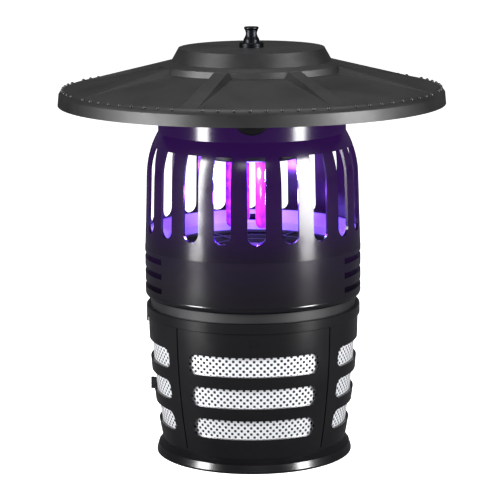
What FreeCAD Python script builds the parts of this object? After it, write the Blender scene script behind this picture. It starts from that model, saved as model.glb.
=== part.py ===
import FreeCAD, Part
import math
import os
import re
import Sketcher

# Hanging outdoor insect trap: a canopy, a slotted lamp chamber with two ultraviolet lamps, a suction fan in a
# duct below them, and a twist-off mesh basket with a rear door that holds the catch.
# Millimetres, +Z up, front towards -Y. The origin is the centre of the basket's foot, where the trap stands.

doc = FreeCAD.newDocument("insect_trap")
sheet = doc.addObject("Spreadsheet::Sheet", "Sizes")

SIZES = {
    # clearances and walls
    "gap": 0.3,                 # between pieces that move past each other
    "seat_gap": 0.05,           # round pieces of one body that fit in each other
    "wall": 2.6,                # moulded walls of the housings
    # small screws
    "screw_radius": 1.5,
    "screw_head_radius": 2.8,
    "screw_head_height": 2.2,
    "screw_play": 0.08,
    "screw_circle_radius": 89.8,
    "screw_turn": 45.0,
    # basket cage
    "cage_height": 131.2,
    "cage_top_radius": 97.7,
    "cage_mid_radius": 94.6,
    "cage_mid_z": 72.0,
    "cage_low_radius": 86.4,
    "cage_low_z": 16.4,
    "cage_waist_radius": 85.1,
    "cage_waist_z": 11.4,
    "cage_wall": 2.8,
    "cage_flange": 3.0,
    "cage_flange_reach": 11.7,
    "foot_radius": 91.5,
    "foot_lip": 1.7,
    "foot_slope_radius": 89.8,
    "foot_slope_z": 7.6,
    "floor_ring_width": 12.0,
    "floor_thick": 2.6,
    "floor_rib_width": 5.0,
    "floor_hub_radius": 11.0,
    "window_half_angle": 37.5,
    "window_height": 18.4,
    "window_low_z": 40.3,
    "window_pitch": 29.9,
    "window_corner": 6.0,
    "crease_depth": 0.8,
    "crease_angle": 1.0,
    "mesh_thick": 0.8,
    # basket door, its hinge and its snap tongue
    "door_foot_z": 22.5,
    "door_top_z": 117.5,
    "door_angle": 88.0,
    "door_play_angle": 0.45,
    "door_play": 0.7,
    "hinge_turn": 46.22,
    "hinge_stand": 3.3,
    "hinge_bulge": 3.0,
    "hinge_reach": 5.8,
    "hinge_web": 4.4,
    "knuckle_radius": 3.0,
    "knuckle_length": 14.0,
    "pin_radius": 1.2,
    "pin_play": 0.06,
    "tongue_z": 54.5,
    "tongue_height": 11.0,
    "tongue_thick": 2.2,
    "tongue_start_turn": 128.0,
    "tongue_end_turn": 161.0,
    "tongue_lift": 0.5,
    "tab_height": 8.0,
    "tab_angle": 1.8,
    "peg_turn": 152.5,
    "peg_angle": 2.0,
    "peg_height": 4.0,
    "peg_window_angle": 7.0,
    # lock ring and seal
    "ring_radius": 99.5,
    "ring_flange": 2.4,
    "ring_lip": 2.2,
    "ring_play": 0.8,
    "ring_edge": 0.6,
    "seal_thick": 2.1,
    "seal_width": 4.0,
    "lug_height": 2.5,
    "lug_reach": 1.9,
    "lug_angle": 10.0,
    "lug_turn": 45.0,
    "twist_angle": 18.0,
    "twist_play_angle": 0.4,
    "arrow_tab_drop": 6.0,
    "arrow_tab_angle": 5.0,
    "arrow_tab_turn": 184.0,
    # fan duct and neck
    "neck_radius": 95.5,
    "neck_length": 13.5,
    "neck_wall": 2.5,
    "tube_radius": 84.0,
    "tube_wall": 2.5,
    "tube_foot_rise": 2.0,
    "duct_flange": 3.0,
    "arm_rise": 3.0,
    "arm_thick": 4.0,
    "arm_width": 8.0,
    "motor_seat_radius": 26.0,
    "motor_seat_hole": 6.0,
    # fan shroud
    "shroud_radius": 100.2,
    "shroud_height": 46.6,
    "shroud_foot_radius": 97.5,
    "shroud_bend": 5.5,
    "shroud_lip": 2.5,
    "shroud_boss_radius": 2.9,
    "grip_angle": 68.0,
    "grip_backing": 4.6,
    "grip_depth": 4.2,
    "grip_height": 6.6,
    "grip_pitch": 13.4,
    "grip_first_rise": 10.0,
    # fan, motor and lead
    "motor_radius": 20.0,
    "motor_height": 22.0,
    "motor_bevel": 2.5,
    "motor_screw_circle": 14.0,
    "bush_radius": 4.0,
    "bush_length": 5.5,
    "shaft_radius": 2.5,
    "shaft_play": 0.05,
    "shaft_length": 45.0,
    "hub_radius": 21.0,
    "hub_wall": 2.0,
    "hub_height": 17.0,
    "hub_boss_radius": 6.0,
    "hub_lift": 2.0,
    "blade_count": 7,
    "blade_root": 16.0,
    "blade_tip": 79.5,
    "blade_root_chord": 33.0,
    "blade_tip_chord": 38.0,
    "blade_root_pitch": 35.0,
    "blade_tip_pitch": 22.0,
    "blade_thick": 2.2,
    "nut_radius": 5.0,
    "nut_height": 3.5,
    "lead_radius": 1.3,
    "lead_turn": 83.0,
    "lead_top_reach": 64.0,
    "lead_bend": 9.0,
    # guard and funnel
    "duct_inset": 4.1,
    "guard_thick": 2.0,
    "guard_ring_width": 2.2,
    "guard_rim_width": 6.5,
    "guard_pitch": 22.0,
    "guard_hub_radius": 14.0,
    "guard_spokes": 6,
    "funnel_wall": 2.2,
    "funnel_skirt": 6.5,
    "funnel_cone": 11.0,
    "funnel_play": 0.5,
    "snap_window_width": 7.0,
    "snap_window_height": 5.5,
    # lamp housing
    "housing_foot_radius": 100.0,
    "housing_upper_radius": 97.9,
    "housing_bend_radius": 94.4,
    "housing_flange_width": 10.2,
    "slot_rise": 16.0,
    "slot_height": 77.6,
    "slot_width": 16.1,
    "slot_count": 20,
    "slot_turn": -88.0,
    "slot_bend_drop": 27.1,
    "slot_bend_mid_drop": 5.7,
    "shoulder_rise": 12.3,
    "collar_radius": 86.5,
    "collar_height": 52.0,
    "collar_flange": 3.0,
    "collar_flange_width": 18.0,
    "roof_screw_circle": 74.0,
    # lamp carrier, sockets, lamps and indicator
    "ledge_width": 8.0,
    "ledge_thick": 2.6,
    "carrier_thick": 3.0,
    "carrier_screw_circle": 79.6,
    "block_radius": 46.0,
    "block_height": 23.0,
    "block_wall": 2.4,
    "lamp_turn": -20.0,
    "lamp_offset": 14.43,
    "lamp_radius": 6.0,
    "lamp_bridge_radius": 3.4,
    "lamp_bridge_rise": 13.0,
    "lamp_length": 63.0,
    "base_half_length": 22.4,
    "base_half_width": 8.6,
    "base_corner": 6.0,
    "base_height": 14.0,
    "base_drop": 2.0,
    "base_pin_radius": 1.2,
    "base_pin_length": 6.0,
    "base_pin_spread": 5.0,
    "lens_radius": 4.4,
    "lens_drop": 5.5,
    "lens_flange": 2.0,
    # electronics bay
    "post_radius": 3.2,
    "post_height": 5.0,
    "post_x": 38.0,
    "post_front_y": -26.0,
    "post_rear_y": 62.0,
    "board_half_width": 44.0,
    "board_front_y": -32.0,
    "board_rear_y": 68.0,
    "board_thick": 1.6,
    "transformer_width": 36.0,
    "transformer_depth": 30.0,
    "transformer_height": 27.0,
    "capacitor_radius": 6.5,
    "capacitor_height": 21.0,
    # power button and its switch
    "button_radius": 17.4,
    "button_rise": 24.0,
    "button_proud": 2.8,
    "button_bevel": 2.0,
    "button_flange_radius": 19.2,
    "button_flange_thick": 2.0,
    "button_flange_depth": 5.3,
    "button_stem_radius": 3.5,
    "button_stem_length": 6.9,
    "button_travel": 2.0,
    "spring_radius": 5.4,
    "spring_wire": 0.45,
    "spring_turns": 4.5,
    "switch_width": 16.0,
    "switch_depth": 10.0,
    "switch_height": 29.0,
    # cable inlet at the rear
    "gland_rise": 17.0,
    "gland_bore": 3.6,
    "gland_radius": 7.8,
    "gland_head_radius": 11.0,
    "gland_head": 3.4,
    "gland_nose": 8.0,
    "gland_tail": 12.5,
    "gland_nut_flat": 10.4,
    "gland_nut_thick": 4.5,
    # canopy
    "roof_radius": 178.0,
    "roof_rim_drop": 26.4,
    "edge_radius": 177.0,
    "edge_drop": 16.3,
    "edge_bend_radius": 174.0,
    "edge_bend_drop": 13.2,
    "panel_end_radius": 169.0,
    "roof_wall": 3.0,
    "boss_top_radius": 66.9,
    "boss_rise": 24.4,
    "boss_foot_radius": 73.6,
    "boss_foot_rise": 12.5,
    "cone_slope": 0.25,
    "ledge_radius": 85.0,
    "ledge_rise": 9.65,
    "step_run": 2.0,
    "step_foot_rise": 4.2,
    "roof_seat_radius": 80.0,
    "rib_count": 8,
    "rib_turn": 26.5,
    "rib_inner_width": 12.0,
    "rib_outer_width": 16.0,
    "rib_side_slope": 1.0,
    "roof_post_radius": 4.5,
    # hanger and light sensor
    "stud_hole_radius": 5.2,
    "stud_shank_radius": 5.0,
    "stud_reach": 14.0,
    "stud_flange_radius": 11.2,
    "stud_flange_height": 4.6,
    "stud_foot_radius": 7.3,
    "stud_waist_radius": 5.9,
    "stud_head_radius": 6.7,
    "stud_height": 18.6,
    "hang_bore_rise": 12.6,
    "hang_bore_radius": 3.0,
    "hanger_nut_flat": 8.0,
    "hanger_nut_height": 6.0,
    "sensor_x": -44.0,
    "sensor_y": 20.0,
    "sensor_window_width": 10.0,
    "sensor_window_depth": 3.4,
    "sensor_radius": 2.4,
    "sensor_height": 6.0,
}

for row, (alias, value) in enumerate(SIZES.items(), start=1):
    sheet.set("A%d" % row, alias)
    sheet.set("B%d" % row, str(value))
    sheet.setAlias("B%d" % row, alias)
doc.recompute()

# Levels up the trap, each worked out from the piece that it stands on.
RING_FLOOR = "(cage_height + ring_flange)"
NECK_FOOT = "(cage_height + ring_flange + seal_thick + gap)"
LUG_TOP = "(%s + lug_height)" % NECK_FOOT
RING_TOP = "(%s + gap + ring_lip)" % LUG_TOP
SHROUD_FOOT = "(%s + neck_length)" % NECK_FOOT
DUCT_SEAT = "(%s + shroud_lip)" % SHROUD_FOOT
DUCT_FLANGE_TOP = "(%s + duct_flange)" % DUCT_SEAT
HOUSING_FOOT = "(%s + shroud_height)" % SHROUD_FOOT
DUCT_TOP = "(%s - duct_inset)" % HOUSING_FOOT
GUARD_TOP = "(%s + guard_thick)" % DUCT_TOP
ARM_FOOT = "(%s + arm_rise)" % NECK_FOOT
ARM_TOP = "(%s + arm_thick)" % ARM_FOOT
MOTOR_TOP = "(%s + motor_height)" % ARM_TOP
HUB_FOOT = "(%s + hub_lift)" % MOTOR_TOP
HUB_TOP = "(%s + hub_height)" % HUB_FOOT
SLOT_FOOT = "(%s + slot_rise)" % HOUSING_FOOT
SLOT_TOP = "(%s + slot_height)" % SLOT_FOOT
COLLAR_FOOT = "(%s + shoulder_rise)" % SLOT_TOP
COLLAR_TOP = "(%s + collar_height)" % COLLAR_FOOT
CARRIER_SEAT = "(%s - 1.0)" % COLLAR_FOOT
CARRIER_TOP = "(%s + carrier_thick)" % CARRIER_SEAT
BLOCK_FOOT = "(%s - block_height)" % CARRIER_SEAT
BASE_FOOT = "(%s - base_drop)" % BLOCK_FOOT
BASE_TOP = "(%s + base_height)" % BASE_FOOT
LAMP_FOOT = "(%s - lamp_length)" % BASE_FOOT
BOARD_FOOT = "(%s + post_height)" % CARRIER_TOP
BOARD_TOP = "(%s + board_thick)" % BOARD_FOOT
BUTTON_Z = "(%s + button_rise)" % COLLAR_FOOT
GLAND_Z = "(%s + gland_rise)" % COLLAR_FOOT
BOSS_TOP = "(%s + boss_rise)" % COLLAR_TOP
LEAD_REACH = "screw_circle_radius"
LEAD_FLOOR = "(%s + lead_radius + 0.1)" % ARM_TOP
SWITCH_FACE = "(collar_radius - button_flange_depth - button_flange_thick" \
              " - button_stem_length - button_travel - gap)"

pieces = []


# ---------------------------------------------------------------- drawing helpers

def bind(text):
    """An expression in the sheet's names, as FreeCAD wants it."""
    return re.sub(r"\b([a-z]\w*)\b(?!\()", r"Sizes.\1", text)


def number(text):
    """The value of an expression in the sheet's names."""
    return float(sheet.evalExpression(bind(text)))


def is_zero(text):
    return text == "0"


def plane_of(body, role):
    """One of the body's own origin planes or axes."""
    return [item for item in body.Origin.OriginFeatures if item.Role == role][0]


def new_body(label):
    body = doc.addObject("PartDesign::Body", label)
    body.Label = label
    return body


def keep(label, item):
    """Note a finished piece, under the name that its file gets."""
    item.Label = label
    pieces.append((label, item))
    return item


def upright_sketch(body, name, turn="0"):
    """Sketch in a plane through the trap's axis: x is the distance from the axis, y is height."""
    sketch = body.newObject("Sketcher::SketchObject", name)
    sketch.AttachmentSupport = [(plane_of(body, "XZ_Plane"), "")]
    sketch.MapMode = "FlatFace"
    up = FreeCAD.Vector(0, 1, 0)
    sketch.AttachmentOffset = FreeCAD.Placement(FreeCAD.Vector(0, 0, 0), FreeCAD.Rotation(up, 0))
    if not is_zero(turn):
        sketch.setExpression("AttachmentOffset.Rotation.Angle", bind(turn))
    return sketch


def level_sketch(body, name, level, turn="0"):
    """Horizontal sketch at a height, turned about the trap's axis."""
    sketch = body.newObject("Sketcher::SketchObject", name)
    sketch.AttachmentSupport = [(plane_of(body, "XY_Plane"), "")]
    sketch.MapMode = "FlatFace"
    up = FreeCAD.Vector(0, 0, 1)
    sketch.AttachmentOffset = FreeCAD.Placement(FreeCAD.Vector(0, 0, 0), FreeCAD.Rotation(up, 0))
    if not is_zero(level):
        sketch.setExpression("AttachmentOffset.Base.z", bind(level))
    if not is_zero(turn):
        sketch.setExpression("AttachmentOffset.Rotation.Angle", bind(turn))
    return sketch


def facing_sketch(body, name, distance, turn="0"):
    """Upright sketch square to the radius, at a distance from the axis: x is sideways, y is height."""
    sketch = body.newObject("Sketcher::SketchObject", name)
    sketch.AttachmentSupport = [(plane_of(body, "YZ_Plane"), "")]
    sketch.MapMode = "FlatFace"
    up = FreeCAD.Vector(0, 1, 0)
    sketch.AttachmentOffset = FreeCAD.Placement(FreeCAD.Vector(0, 0, 0), FreeCAD.Rotation(up, 0))
    sketch.setExpression("AttachmentOffset.Base.x", bind("%s * sin(%s)" % (distance, turn)))
    sketch.setExpression("AttachmentOffset.Base.z", bind("%s * cos(%s)" % (distance, turn)))
    if not is_zero(turn):
        sketch.setExpression("AttachmentOffset.Rotation.Angle", bind(turn))
    return sketch


def pin_point(sketch, edge, end, across, height):
    """Hold one end of an edge at two expressions, measured from the sketch's origin."""
    for kind, axis, text in (("DistanceX", -2, across), ("DistanceY", -1, height)):
        if is_zero(text):
            sketch.addConstraint(Sketcher.Constraint("PointOnObject", edge, end, axis))
        else:
            rule = sketch.addConstraint(Sketcher.Constraint(kind, -1, 1, edge, end, number(text)))
            sketch.setExpression("Constraints[%d]" % rule, bind(text))


def outline(sketch, points):
    """Closed outline through points of two expressions. Four expressions give a point, then one on the arc to it."""
    spots = [FreeCAD.Vector(number(point[0]), number(point[1]), 0) for point in points]
    ends = []
    for place, point in enumerate(points):
        start = spots[place - 1]
        end = spots[place]
        if len(point) == 4:
            middle = FreeCAD.Vector(number(point[2]), number(point[3]), 0)
            edge = sketch.addGeometry(Part.Arc(start, middle, end))
            forward = sketch.getPoint(edge, 1).distanceToPoint(start) < 1e-6
            ends.append((edge, 1 if forward else 2, 2 if forward else 1))
            marker = sketch.addGeometry(Part.Point(middle), True)
            pin_point(sketch, marker, 1, point[2], point[3])
            sketch.addConstraint(Sketcher.Constraint("PointOnObject", marker, 1, edge))
        else:
            edge = sketch.addGeometry(Part.LineSegment(start, end))
            ends.append((edge, 1, 2))
    for place, point in enumerate(points):
        edge, _, finish = ends[place]
        follower, begin, _ = ends[(place + 1) % len(points)]
        sketch.addConstraint(Sketcher.Constraint("Coincident", edge, finish, follower, begin))
        pin_point(sketch, edge, finish, point[0], point[1])


def circle(sketch, across, height, radius):
    centre = FreeCAD.Vector(number(across), number(height), 0)
    edge = sketch.addGeometry(Part.Circle(centre, FreeCAD.Vector(0, 0, 1), number(radius)))
    pin_point(sketch, edge, 3, across, height)
    rule = sketch.addConstraint(Sketcher.Constraint("Radius", edge, number(radius)))
    sketch.setExpression("Constraints[%d]" % rule, bind(radius))


def ring_of_circles(sketch, circle_radius, turn, count, radius):
    """Circles spaced evenly on a circle about the axis."""
    for place in range(count):
        angle = "%s + %g" % (turn, 360.0 * place / count)
        across = "%s * cos(%s)" % (circle_radius, angle)
        height = "%s * sin(%s)" % (circle_radius, angle)
        circle(sketch, across, height, radius)


def rectangle(sketch, left, right, bottom, top):
    outline(sketch, [(left, bottom), (right, bottom), (right, top), (left, top)])


def rounded_rectangle(sketch, middle, level, half_width, half_height, corner):
    """Rectangle with quarter-round corners, centred at (middle, level)."""
    inset = "(%s * (1 - cos(45)))" % corner
    points = []
    for side, rise, first in ((1, -1, True), (1, 1, False), (-1, 1, True), (-1, -1, False)):
        edge_x = "(%s + %d * %s)" % (middle, side, half_width)
        edge_y = "(%s + %d * %s)" % (level, rise, half_height)
        near_x = "%s - %d * %s" % (edge_x, side, corner)
        near_y = "%s - %d * %s" % (edge_y, rise, corner)
        via_x = "%s - %d * %s" % (edge_x, side, inset)
        via_y = "%s - %d * %s" % (edge_y, rise, inset)
        if first:
            points.append((near_x, edge_y))
            points.append((edge_x, near_y, via_x, via_y))
        else:
            points.append((edge_x, near_y))
            points.append((near_x, edge_y, via_x, via_y))
    outline(sketch, points)


def turned(body, sketch, name, angle=None, cut=False):
    """Turn a sketch about the trap's axis, all round or over an angle centred on the sketch."""
    kind = "PartDesign::Groove" if cut else "PartDesign::Revolution"
    feature = body.newObject(kind, name)
    feature.Profile = sketch
    feature.ReferenceAxis = (sketch, ["V_Axis"])
    feature.Angle = 360
    if angle is not None:
        feature.Midplane = True
        feature.setExpression("Angle", bind(angle))
    sketch.Visibility = False
    return feature


def raised(body, sketch, name, length, back=False):
    """Pad a sketch along its normal, or against it."""
    feature = body.newObject("PartDesign::Pad", name)
    feature.Profile = sketch
    feature.Reversed = back
    feature.setExpression("Length", bind(length))
    return feature


def sunk(body, sketch, name, length, along=False, both=False):
    """Pocket a sketch against its normal, along it, or both ways."""
    feature = body.newObject("PartDesign::Pocket", name)
    feature.Profile = sketch
    feature.Reversed = along
    feature.Midplane = both
    feature.setExpression("Length", bind(length))
    return feature


def around(body, features, name, count, angle="360"):
    """Repeat features about the trap's axis."""
    pattern = body.newObject("PartDesign::PolarPattern", name)
    pattern.Originals = features
    pattern.Axis = (plane_of(body, "Z_Axis"), [""])
    pattern.setExpression("Occurrences", bind(count))
    pattern.setExpression("Angle", bind(angle))
    body.Tip = pattern
    return pattern


def lathe(label, points):
    """Body turned all round from one outline."""
    body = new_body(label)
    sketch = upright_sketch(body, label + "_outline")
    outline(sketch, points)
    turned(body, sketch, label + "_turned")
    return body


def screw_ring(label, circle_radius, turn, seat, reach, up=True, count=4):
    """Pan-head screws on a circle: the heads bear on the seat, and the shanks point up or down."""
    body = new_body(label)
    heads = level_sketch(body, label + "_head", seat)
    ring_of_circles(heads, circle_radius, turn, count, "screw_head_radius")
    raised(body, heads, label + "_heads", "screw_head_height", back=up)
    shanks = level_sketch(body, label + "_shank", seat)
    ring_of_circles(shanks, circle_radius, turn, count, "screw_radius")
    raised(body, shanks, label + "_shanks", reach, back=not up)
    return keep(label, body)


def screw_holes(body, name, circle_radius, turn, level, depth, down=True, count=4):
    """Clearance or pilot holes for a ring of screws, from a level downwards or upwards."""
    sketch = level_sketch(body, name + "_sketch", level)
    ring_of_circles(sketch, circle_radius, turn, count, "screw_radius + screw_play")
    return sunk(body, sketch, name, depth, along=not down)


# ---------------------------------------------------------------- basket

def wall_outline(outside, inside):
    """The cage's curved wall from its foot to its top, between two offsets from its outer face."""
    return [
        ("cage_low_radius + %s" % outside, "cage_low_z"),
        ("cage_top_radius + %s" % outside, "cage_height",
         "cage_mid_radius + %s" % outside, "cage_mid_z"),
        ("cage_top_radius - %s" % inside, "cage_height"),
        ("cage_low_radius - %s" % inside, "cage_low_z",
         "cage_mid_radius - %s" % inside, "cage_mid_z"),
    ]


def wall_radius(level):
    """Outer radius of the cage's curved wall at a height."""
    share = "((%s - cage_low_z) / (cage_height - cage_low_z))" % level
    middle = "((cage_mid_z - cage_low_z) / (cage_height - cage_low_z))"
    bulge = "((cage_mid_radius - cage_low_radius - (cage_top_radius - cage_low_radius) * %s)" \
            " / (%s * (1 - %s)))" % (middle, middle, middle)
    return "(cage_low_radius + (cage_top_radius - cage_low_radius) * %s + %s * %s * (1 - %s))" \
           % (share, bulge, share, share)


WALL_SLOPE = "((cage_top_radius - cage_low_radius) / (cage_height - cage_low_z))"
HINGE_FOOT_RADIUS = "(cage_low_radius + %s * (door_foot_z - cage_low_z) + hinge_bulge + hinge_stand)" % WALL_SLOPE
HINGE_LENGTH = "(door_top_z - door_foot_z - 3)"
HINGE_TILT = "atan(%s)" % WALL_SLOPE


def basket_windows(body, name, turn):
    """Three long windows, one above the other, through one sector of the wall."""
    sketch = facing_sketch(body, name + "_sketch", "(cage_low_radius * 0.6)", turn)
    for row in range(3):
        level = "window_low_z + %d * window_pitch" % row
        reach = "(cage_low_radius + 1.2 * %s * (%s - cage_low_z))" % (WALL_SLOPE, level)
        half_width = "(%s * sin(window_half_angle))" % reach
        rounded_rectangle(sketch, "0", level, half_width, "window_height / 2", "window_corner")
    return sunk(body, sketch, name, "cage_top_radius", along=True)


def hinge_block(label, starts, side, body_solid, bore_play):
    """Knuckles along the leaning hinge line, each with a web to the wall on its own side."""
    turn = number("hinge_turn")
    outwards = FreeCAD.Vector(math.cos(math.radians(turn)), math.sin(math.radians(turn)), 0)
    sideways = FreeCAD.Vector(-outwards.y, outwards.x, 0)
    tilt = FreeCAD.Rotation(sideways, number(HINGE_TILT))
    spin = tilt.multiply(FreeCAD.Rotation(FreeCAD.Vector(0, 0, 1), turn))
    foot = outwards * number(HINGE_FOOT_RADIUS) + FreeCAD.Vector(0, 0, number("door_foot_z + 1.5"))
    lift = spin.multVec(FreeCAD.Vector(0, 0, 1))
    parts = [body_solid]
    for place, start in enumerate(starts):
        knuckle = doc.addObject("Part::Cylinder", "%s_knuckle_%d" % (label, place))
        knuckle.setExpression("Radius", bind("knuckle_radius"))
        knuckle.setExpression("Height", bind("knuckle_length"))
        knuckle.Placement = FreeCAD.Placement(foot + lift * number(start), spin)
        web = doc.addObject("Part::Box", "%s_web_%d" % (label, place))
        web.setExpression("Length", bind("hinge_reach"))
        web.setExpression("Width", bind("hinge_web"))
        web.setExpression("Height", bind("knuckle_length"))
        corner_y = "gap" if side > 0 else "0 - gap - hinge_web"
        corner = FreeCAD.Vector(-number("hinge_reach"), number(corner_y), 0)
        web.Placement = FreeCAD.Placement(foot + lift * number(start) + spin.multVec(corner), spin)
        parts += [knuckle, web]
    joined = doc.addObject("Part::MultiFuse", label + "_joined")
    joined.Shapes = parts
    joined.Refine = True
    bore = doc.addObject("Part::Cylinder", label + "_pin_bore")
    bore.setExpression("Radius", bind("pin_radius + %s" % bore_play))
    bore.setExpression("Height", bind("%s + 2" % HINGE_LENGTH))
    bore.Placement = FreeCAD.Placement(foot - lift, spin)
    drilled = doc.addObject("Part::Cut", label + "_drilled")
    drilled.Base = joined
    drilled.Tool = bore
    return drilled


def basket_cage():
    """Cage of the catch basket: curved wall, flared foot, floor ring with a cross, and top flange."""
    body = new_body("cage_moulding")
    sketch = upright_sketch(body, "cage_outline")
    outline(sketch, [
        ("foot_radius", "0"),
        ("foot_radius", "foot_lip"),
        ("foot_slope_radius", "foot_slope_z"),
        ("cage_waist_radius", "cage_waist_z"),
        ("cage_low_radius", "cage_low_z"),
        ("cage_top_radius", "cage_height", "cage_mid_radius", "cage_mid_z"),
        ("cage_top_radius - cage_flange_reach", "cage_height"),
        ("cage_top_radius - cage_flange_reach", "cage_height - cage_flange"),
        ("cage_top_radius - cage_wall - 0.15", "cage_height - cage_flange"),
        ("cage_low_radius - cage_wall", "cage_low_z", "cage_mid_radius - cage_wall", "cage_mid_z"),
        ("cage_low_radius - cage_wall", "cage_waist_z + floor_thick"),
        ("cage_low_radius - cage_wall - floor_ring_width", "cage_waist_z + floor_thick"),
        ("cage_low_radius - cage_wall - floor_ring_width", "cage_waist_z"),
        ("cage_waist_radius - cage_wall - 0.6", "cage_waist_z"),
        ("foot_slope_radius - cage_wall - 0.6", "foot_slope_z - 1"),
        ("foot_radius - cage_wall", "foot_lip"),
        ("foot_radius - cage_wall", "0"),
    ])
    turned(body, sketch, "cage_turned")
    hub = level_sketch(body, "floor_hub_sketch", "cage_waist_z")
    circle(hub, "0", "0", "floor_hub_radius")
    raised(body, hub, "floor_hub", "floor_thick")
    rib = level_sketch(body, "floor_rib_sketch", "cage_waist_z")
    rectangle(rib, "floor_hub_radius / 2", "cage_low_radius - cage_wall - floor_ring_width + 1",
              "-floor_rib_width / 2", "floor_rib_width / 2")
    rib_pad = raised(body, rib, "floor_rib", "floor_thick")
    around(body, [rib_pad], "floor_cross", "4")
    windows = basket_windows(body, "windows", "180")
    around(body, [windows], "window_sectors", "3", "180")
    doorway = upright_sketch(body, "doorway_sketch", "90")
    rectangle(doorway, "cage_low_radius / 2", "ring_radius + 5", "door_foot_z", "door_top_z")
    turned(body, doorway, "doorway", "door_angle", cut=True)
    crease = upright_sketch(body, "crease_sketch", "-45")
    outline(crease, wall_outline("3", "crease_depth"))
    crease_cut = turned(body, crease, "crease", "crease_angle", cut=True)
    around(body, [crease_cut], "creases", "4")
    peg = upright_sketch(body, "peg_sketch", "peg_turn")
    rectangle(peg, "cage_low_radius + 5", TONGUE_INSIDE + " + tongue_thick - 0.4",
              "tongue_z - peg_height / 2", "tongue_z + peg_height / 2")
    turned(body, peg, "latch_peg", "peg_angle")
    screw_holes(body, "ring_screw_holes", "screw_circle_radius", "0", "cage_height", "cage_flange * 1.2")
    starts = ("0", "%s - knuckle_length" % HINGE_LENGTH)
    return keep("basket_cage", hinge_block("cage", starts, -1, body, "0.02"))


TONGUE_INSIDE = wall_radius("(tongue_z + tongue_height / 2)") + " + tongue_lift"


def basket_door():
    """Rear door of the basket: one sector of the wall with its own windows, a snap tongue and knuckles."""
    body = new_body("door_moulding")
    sketch = upright_sketch(body, "door_outline", "90")
    outline(sketch, wall_outline("0", "cage_wall"))
    turned(body, sketch, "door_turned", "door_angle - 2 * door_play_angle")
    for name, low, high in (("door_top_cut", "door_top_z - door_play", "cage_height + 1"),
                            ("door_foot_cut", "cage_low_z - 1", "door_foot_z + door_play")):
        cutter = upright_sketch(body, name + "_sketch", "90")
        rectangle(cutter, "cage_low_radius / 2", "ring_radius + 5", low, high)
        turned(body, cutter, name, "door_angle + 10", cut=True)
    basket_windows(body, "door_windows", "90")
    tongue_mid = "(tongue_start_turn + tongue_end_turn) / 2"
    tongue = upright_sketch(body, "tongue_sketch", tongue_mid)
    rectangle(tongue, TONGUE_INSIDE, TONGUE_INSIDE + " + tongue_thick",
              "tongue_z - tongue_height / 2", "tongue_z + tongue_height / 2")
    turned(body, tongue, "tongue", "tongue_end_turn - tongue_start_turn")
    root = upright_sketch(body, "tongue_root_sketch", "tongue_start_turn + 2")
    rectangle(root, TONGUE_INSIDE + " - cage_wall", TONGUE_INSIDE + " + tongue_thick",
              "tongue_z - tongue_height / 2", "tongue_z + tongue_height / 2")
    turned(body, root, "tongue_root", "4")
    tab = upright_sketch(body, "tab_sketch", "tongue_end_turn - tab_angle / 2")
    rectangle(tab, TONGUE_INSIDE, TONGUE_INSIDE + " + tongue_thick + tab_height",
              "tongue_z - tongue_height / 2", "tongue_z + tongue_height / 2")
    turned(body, tab, "finger_tab", "tab_angle")
    window = upright_sketch(body, "peg_window_sketch", "peg_turn + peg_window_angle / 4")
    rectangle(window, TONGUE_INSIDE + " - 1", TONGUE_INSIDE + " + tongue_thick + 1",
              "tongue_z - peg_height / 2 - 1", "tongue_z + peg_height / 2 + 1")
    turned(body, window, "peg_window", "peg_window_angle", cut=True)
    starts = ("knuckle_length + 2 * gap", "%s - 2 * knuckle_length - 2 * gap" % HINGE_LENGTH)
    return keep("basket_door", hinge_block("door", starts, 1, body, "pin_play"))


def hinge_pin():
    turn = number("hinge_turn")
    outwards = FreeCAD.Vector(math.cos(math.radians(turn)), math.sin(math.radians(turn)), 0)
    sideways = FreeCAD.Vector(-outwards.y, outwards.x, 0)
    tilt = FreeCAD.Rotation(sideways, number(HINGE_TILT))
    foot = outwards * number(HINGE_FOOT_RADIUS) + FreeCAD.Vector(0, 0, number("door_foot_z + 1.5"))
    pin = doc.addObject("Part::Cylinder", "hinge_pin")
    pin.setExpression("Radius", bind("pin_radius"))
    pin.setExpression("Height", bind(HINGE_LENGTH))
    pin.Placement = FreeCAD.Placement(foot, tilt)
    return keep("hinge_pin", pin)


def mesh_sheet(label, turn, angle, foot, top):
    """Wire mesh, as a thin sheet that follows the inside of the wall."""
    body = new_body(label)
    sketch = upright_sketch(body, label + "_outline", turn)
    inner = wall_outline("0 - cage_wall - 0.25", "(cage_wall + 0.25 + mesh_thick)")
    outline(sketch, inner)
    turned(body, sketch, label + "_turned", angle)
    for name, low, high in (("top", top, "cage_height + 1"), ("foot", "cage_low_z - 1", foot)):
        cutter = upright_sketch(body, "%s_%s_sketch" % (label, name), turn)
        rectangle(cutter, "cage_low_radius / 2", "ring_radius + 5", low, high)
        turned(body, cutter, "%s_%s_cut" % (label, name), "%s + 4" % angle, cut=True)
    return keep(label, body)


def floor_mesh():
    body = new_body("floor_mesh")
    sketch = level_sketch(body, "floor_mesh_sketch", "cage_waist_z + floor_thick")
    circle(sketch, "0", "0", "cage_low_radius - cage_wall - gap")
    raised(body, sketch, "floor_mesh_sheet", "mesh_thick")
    return keep("floor_mesh", body)


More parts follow.
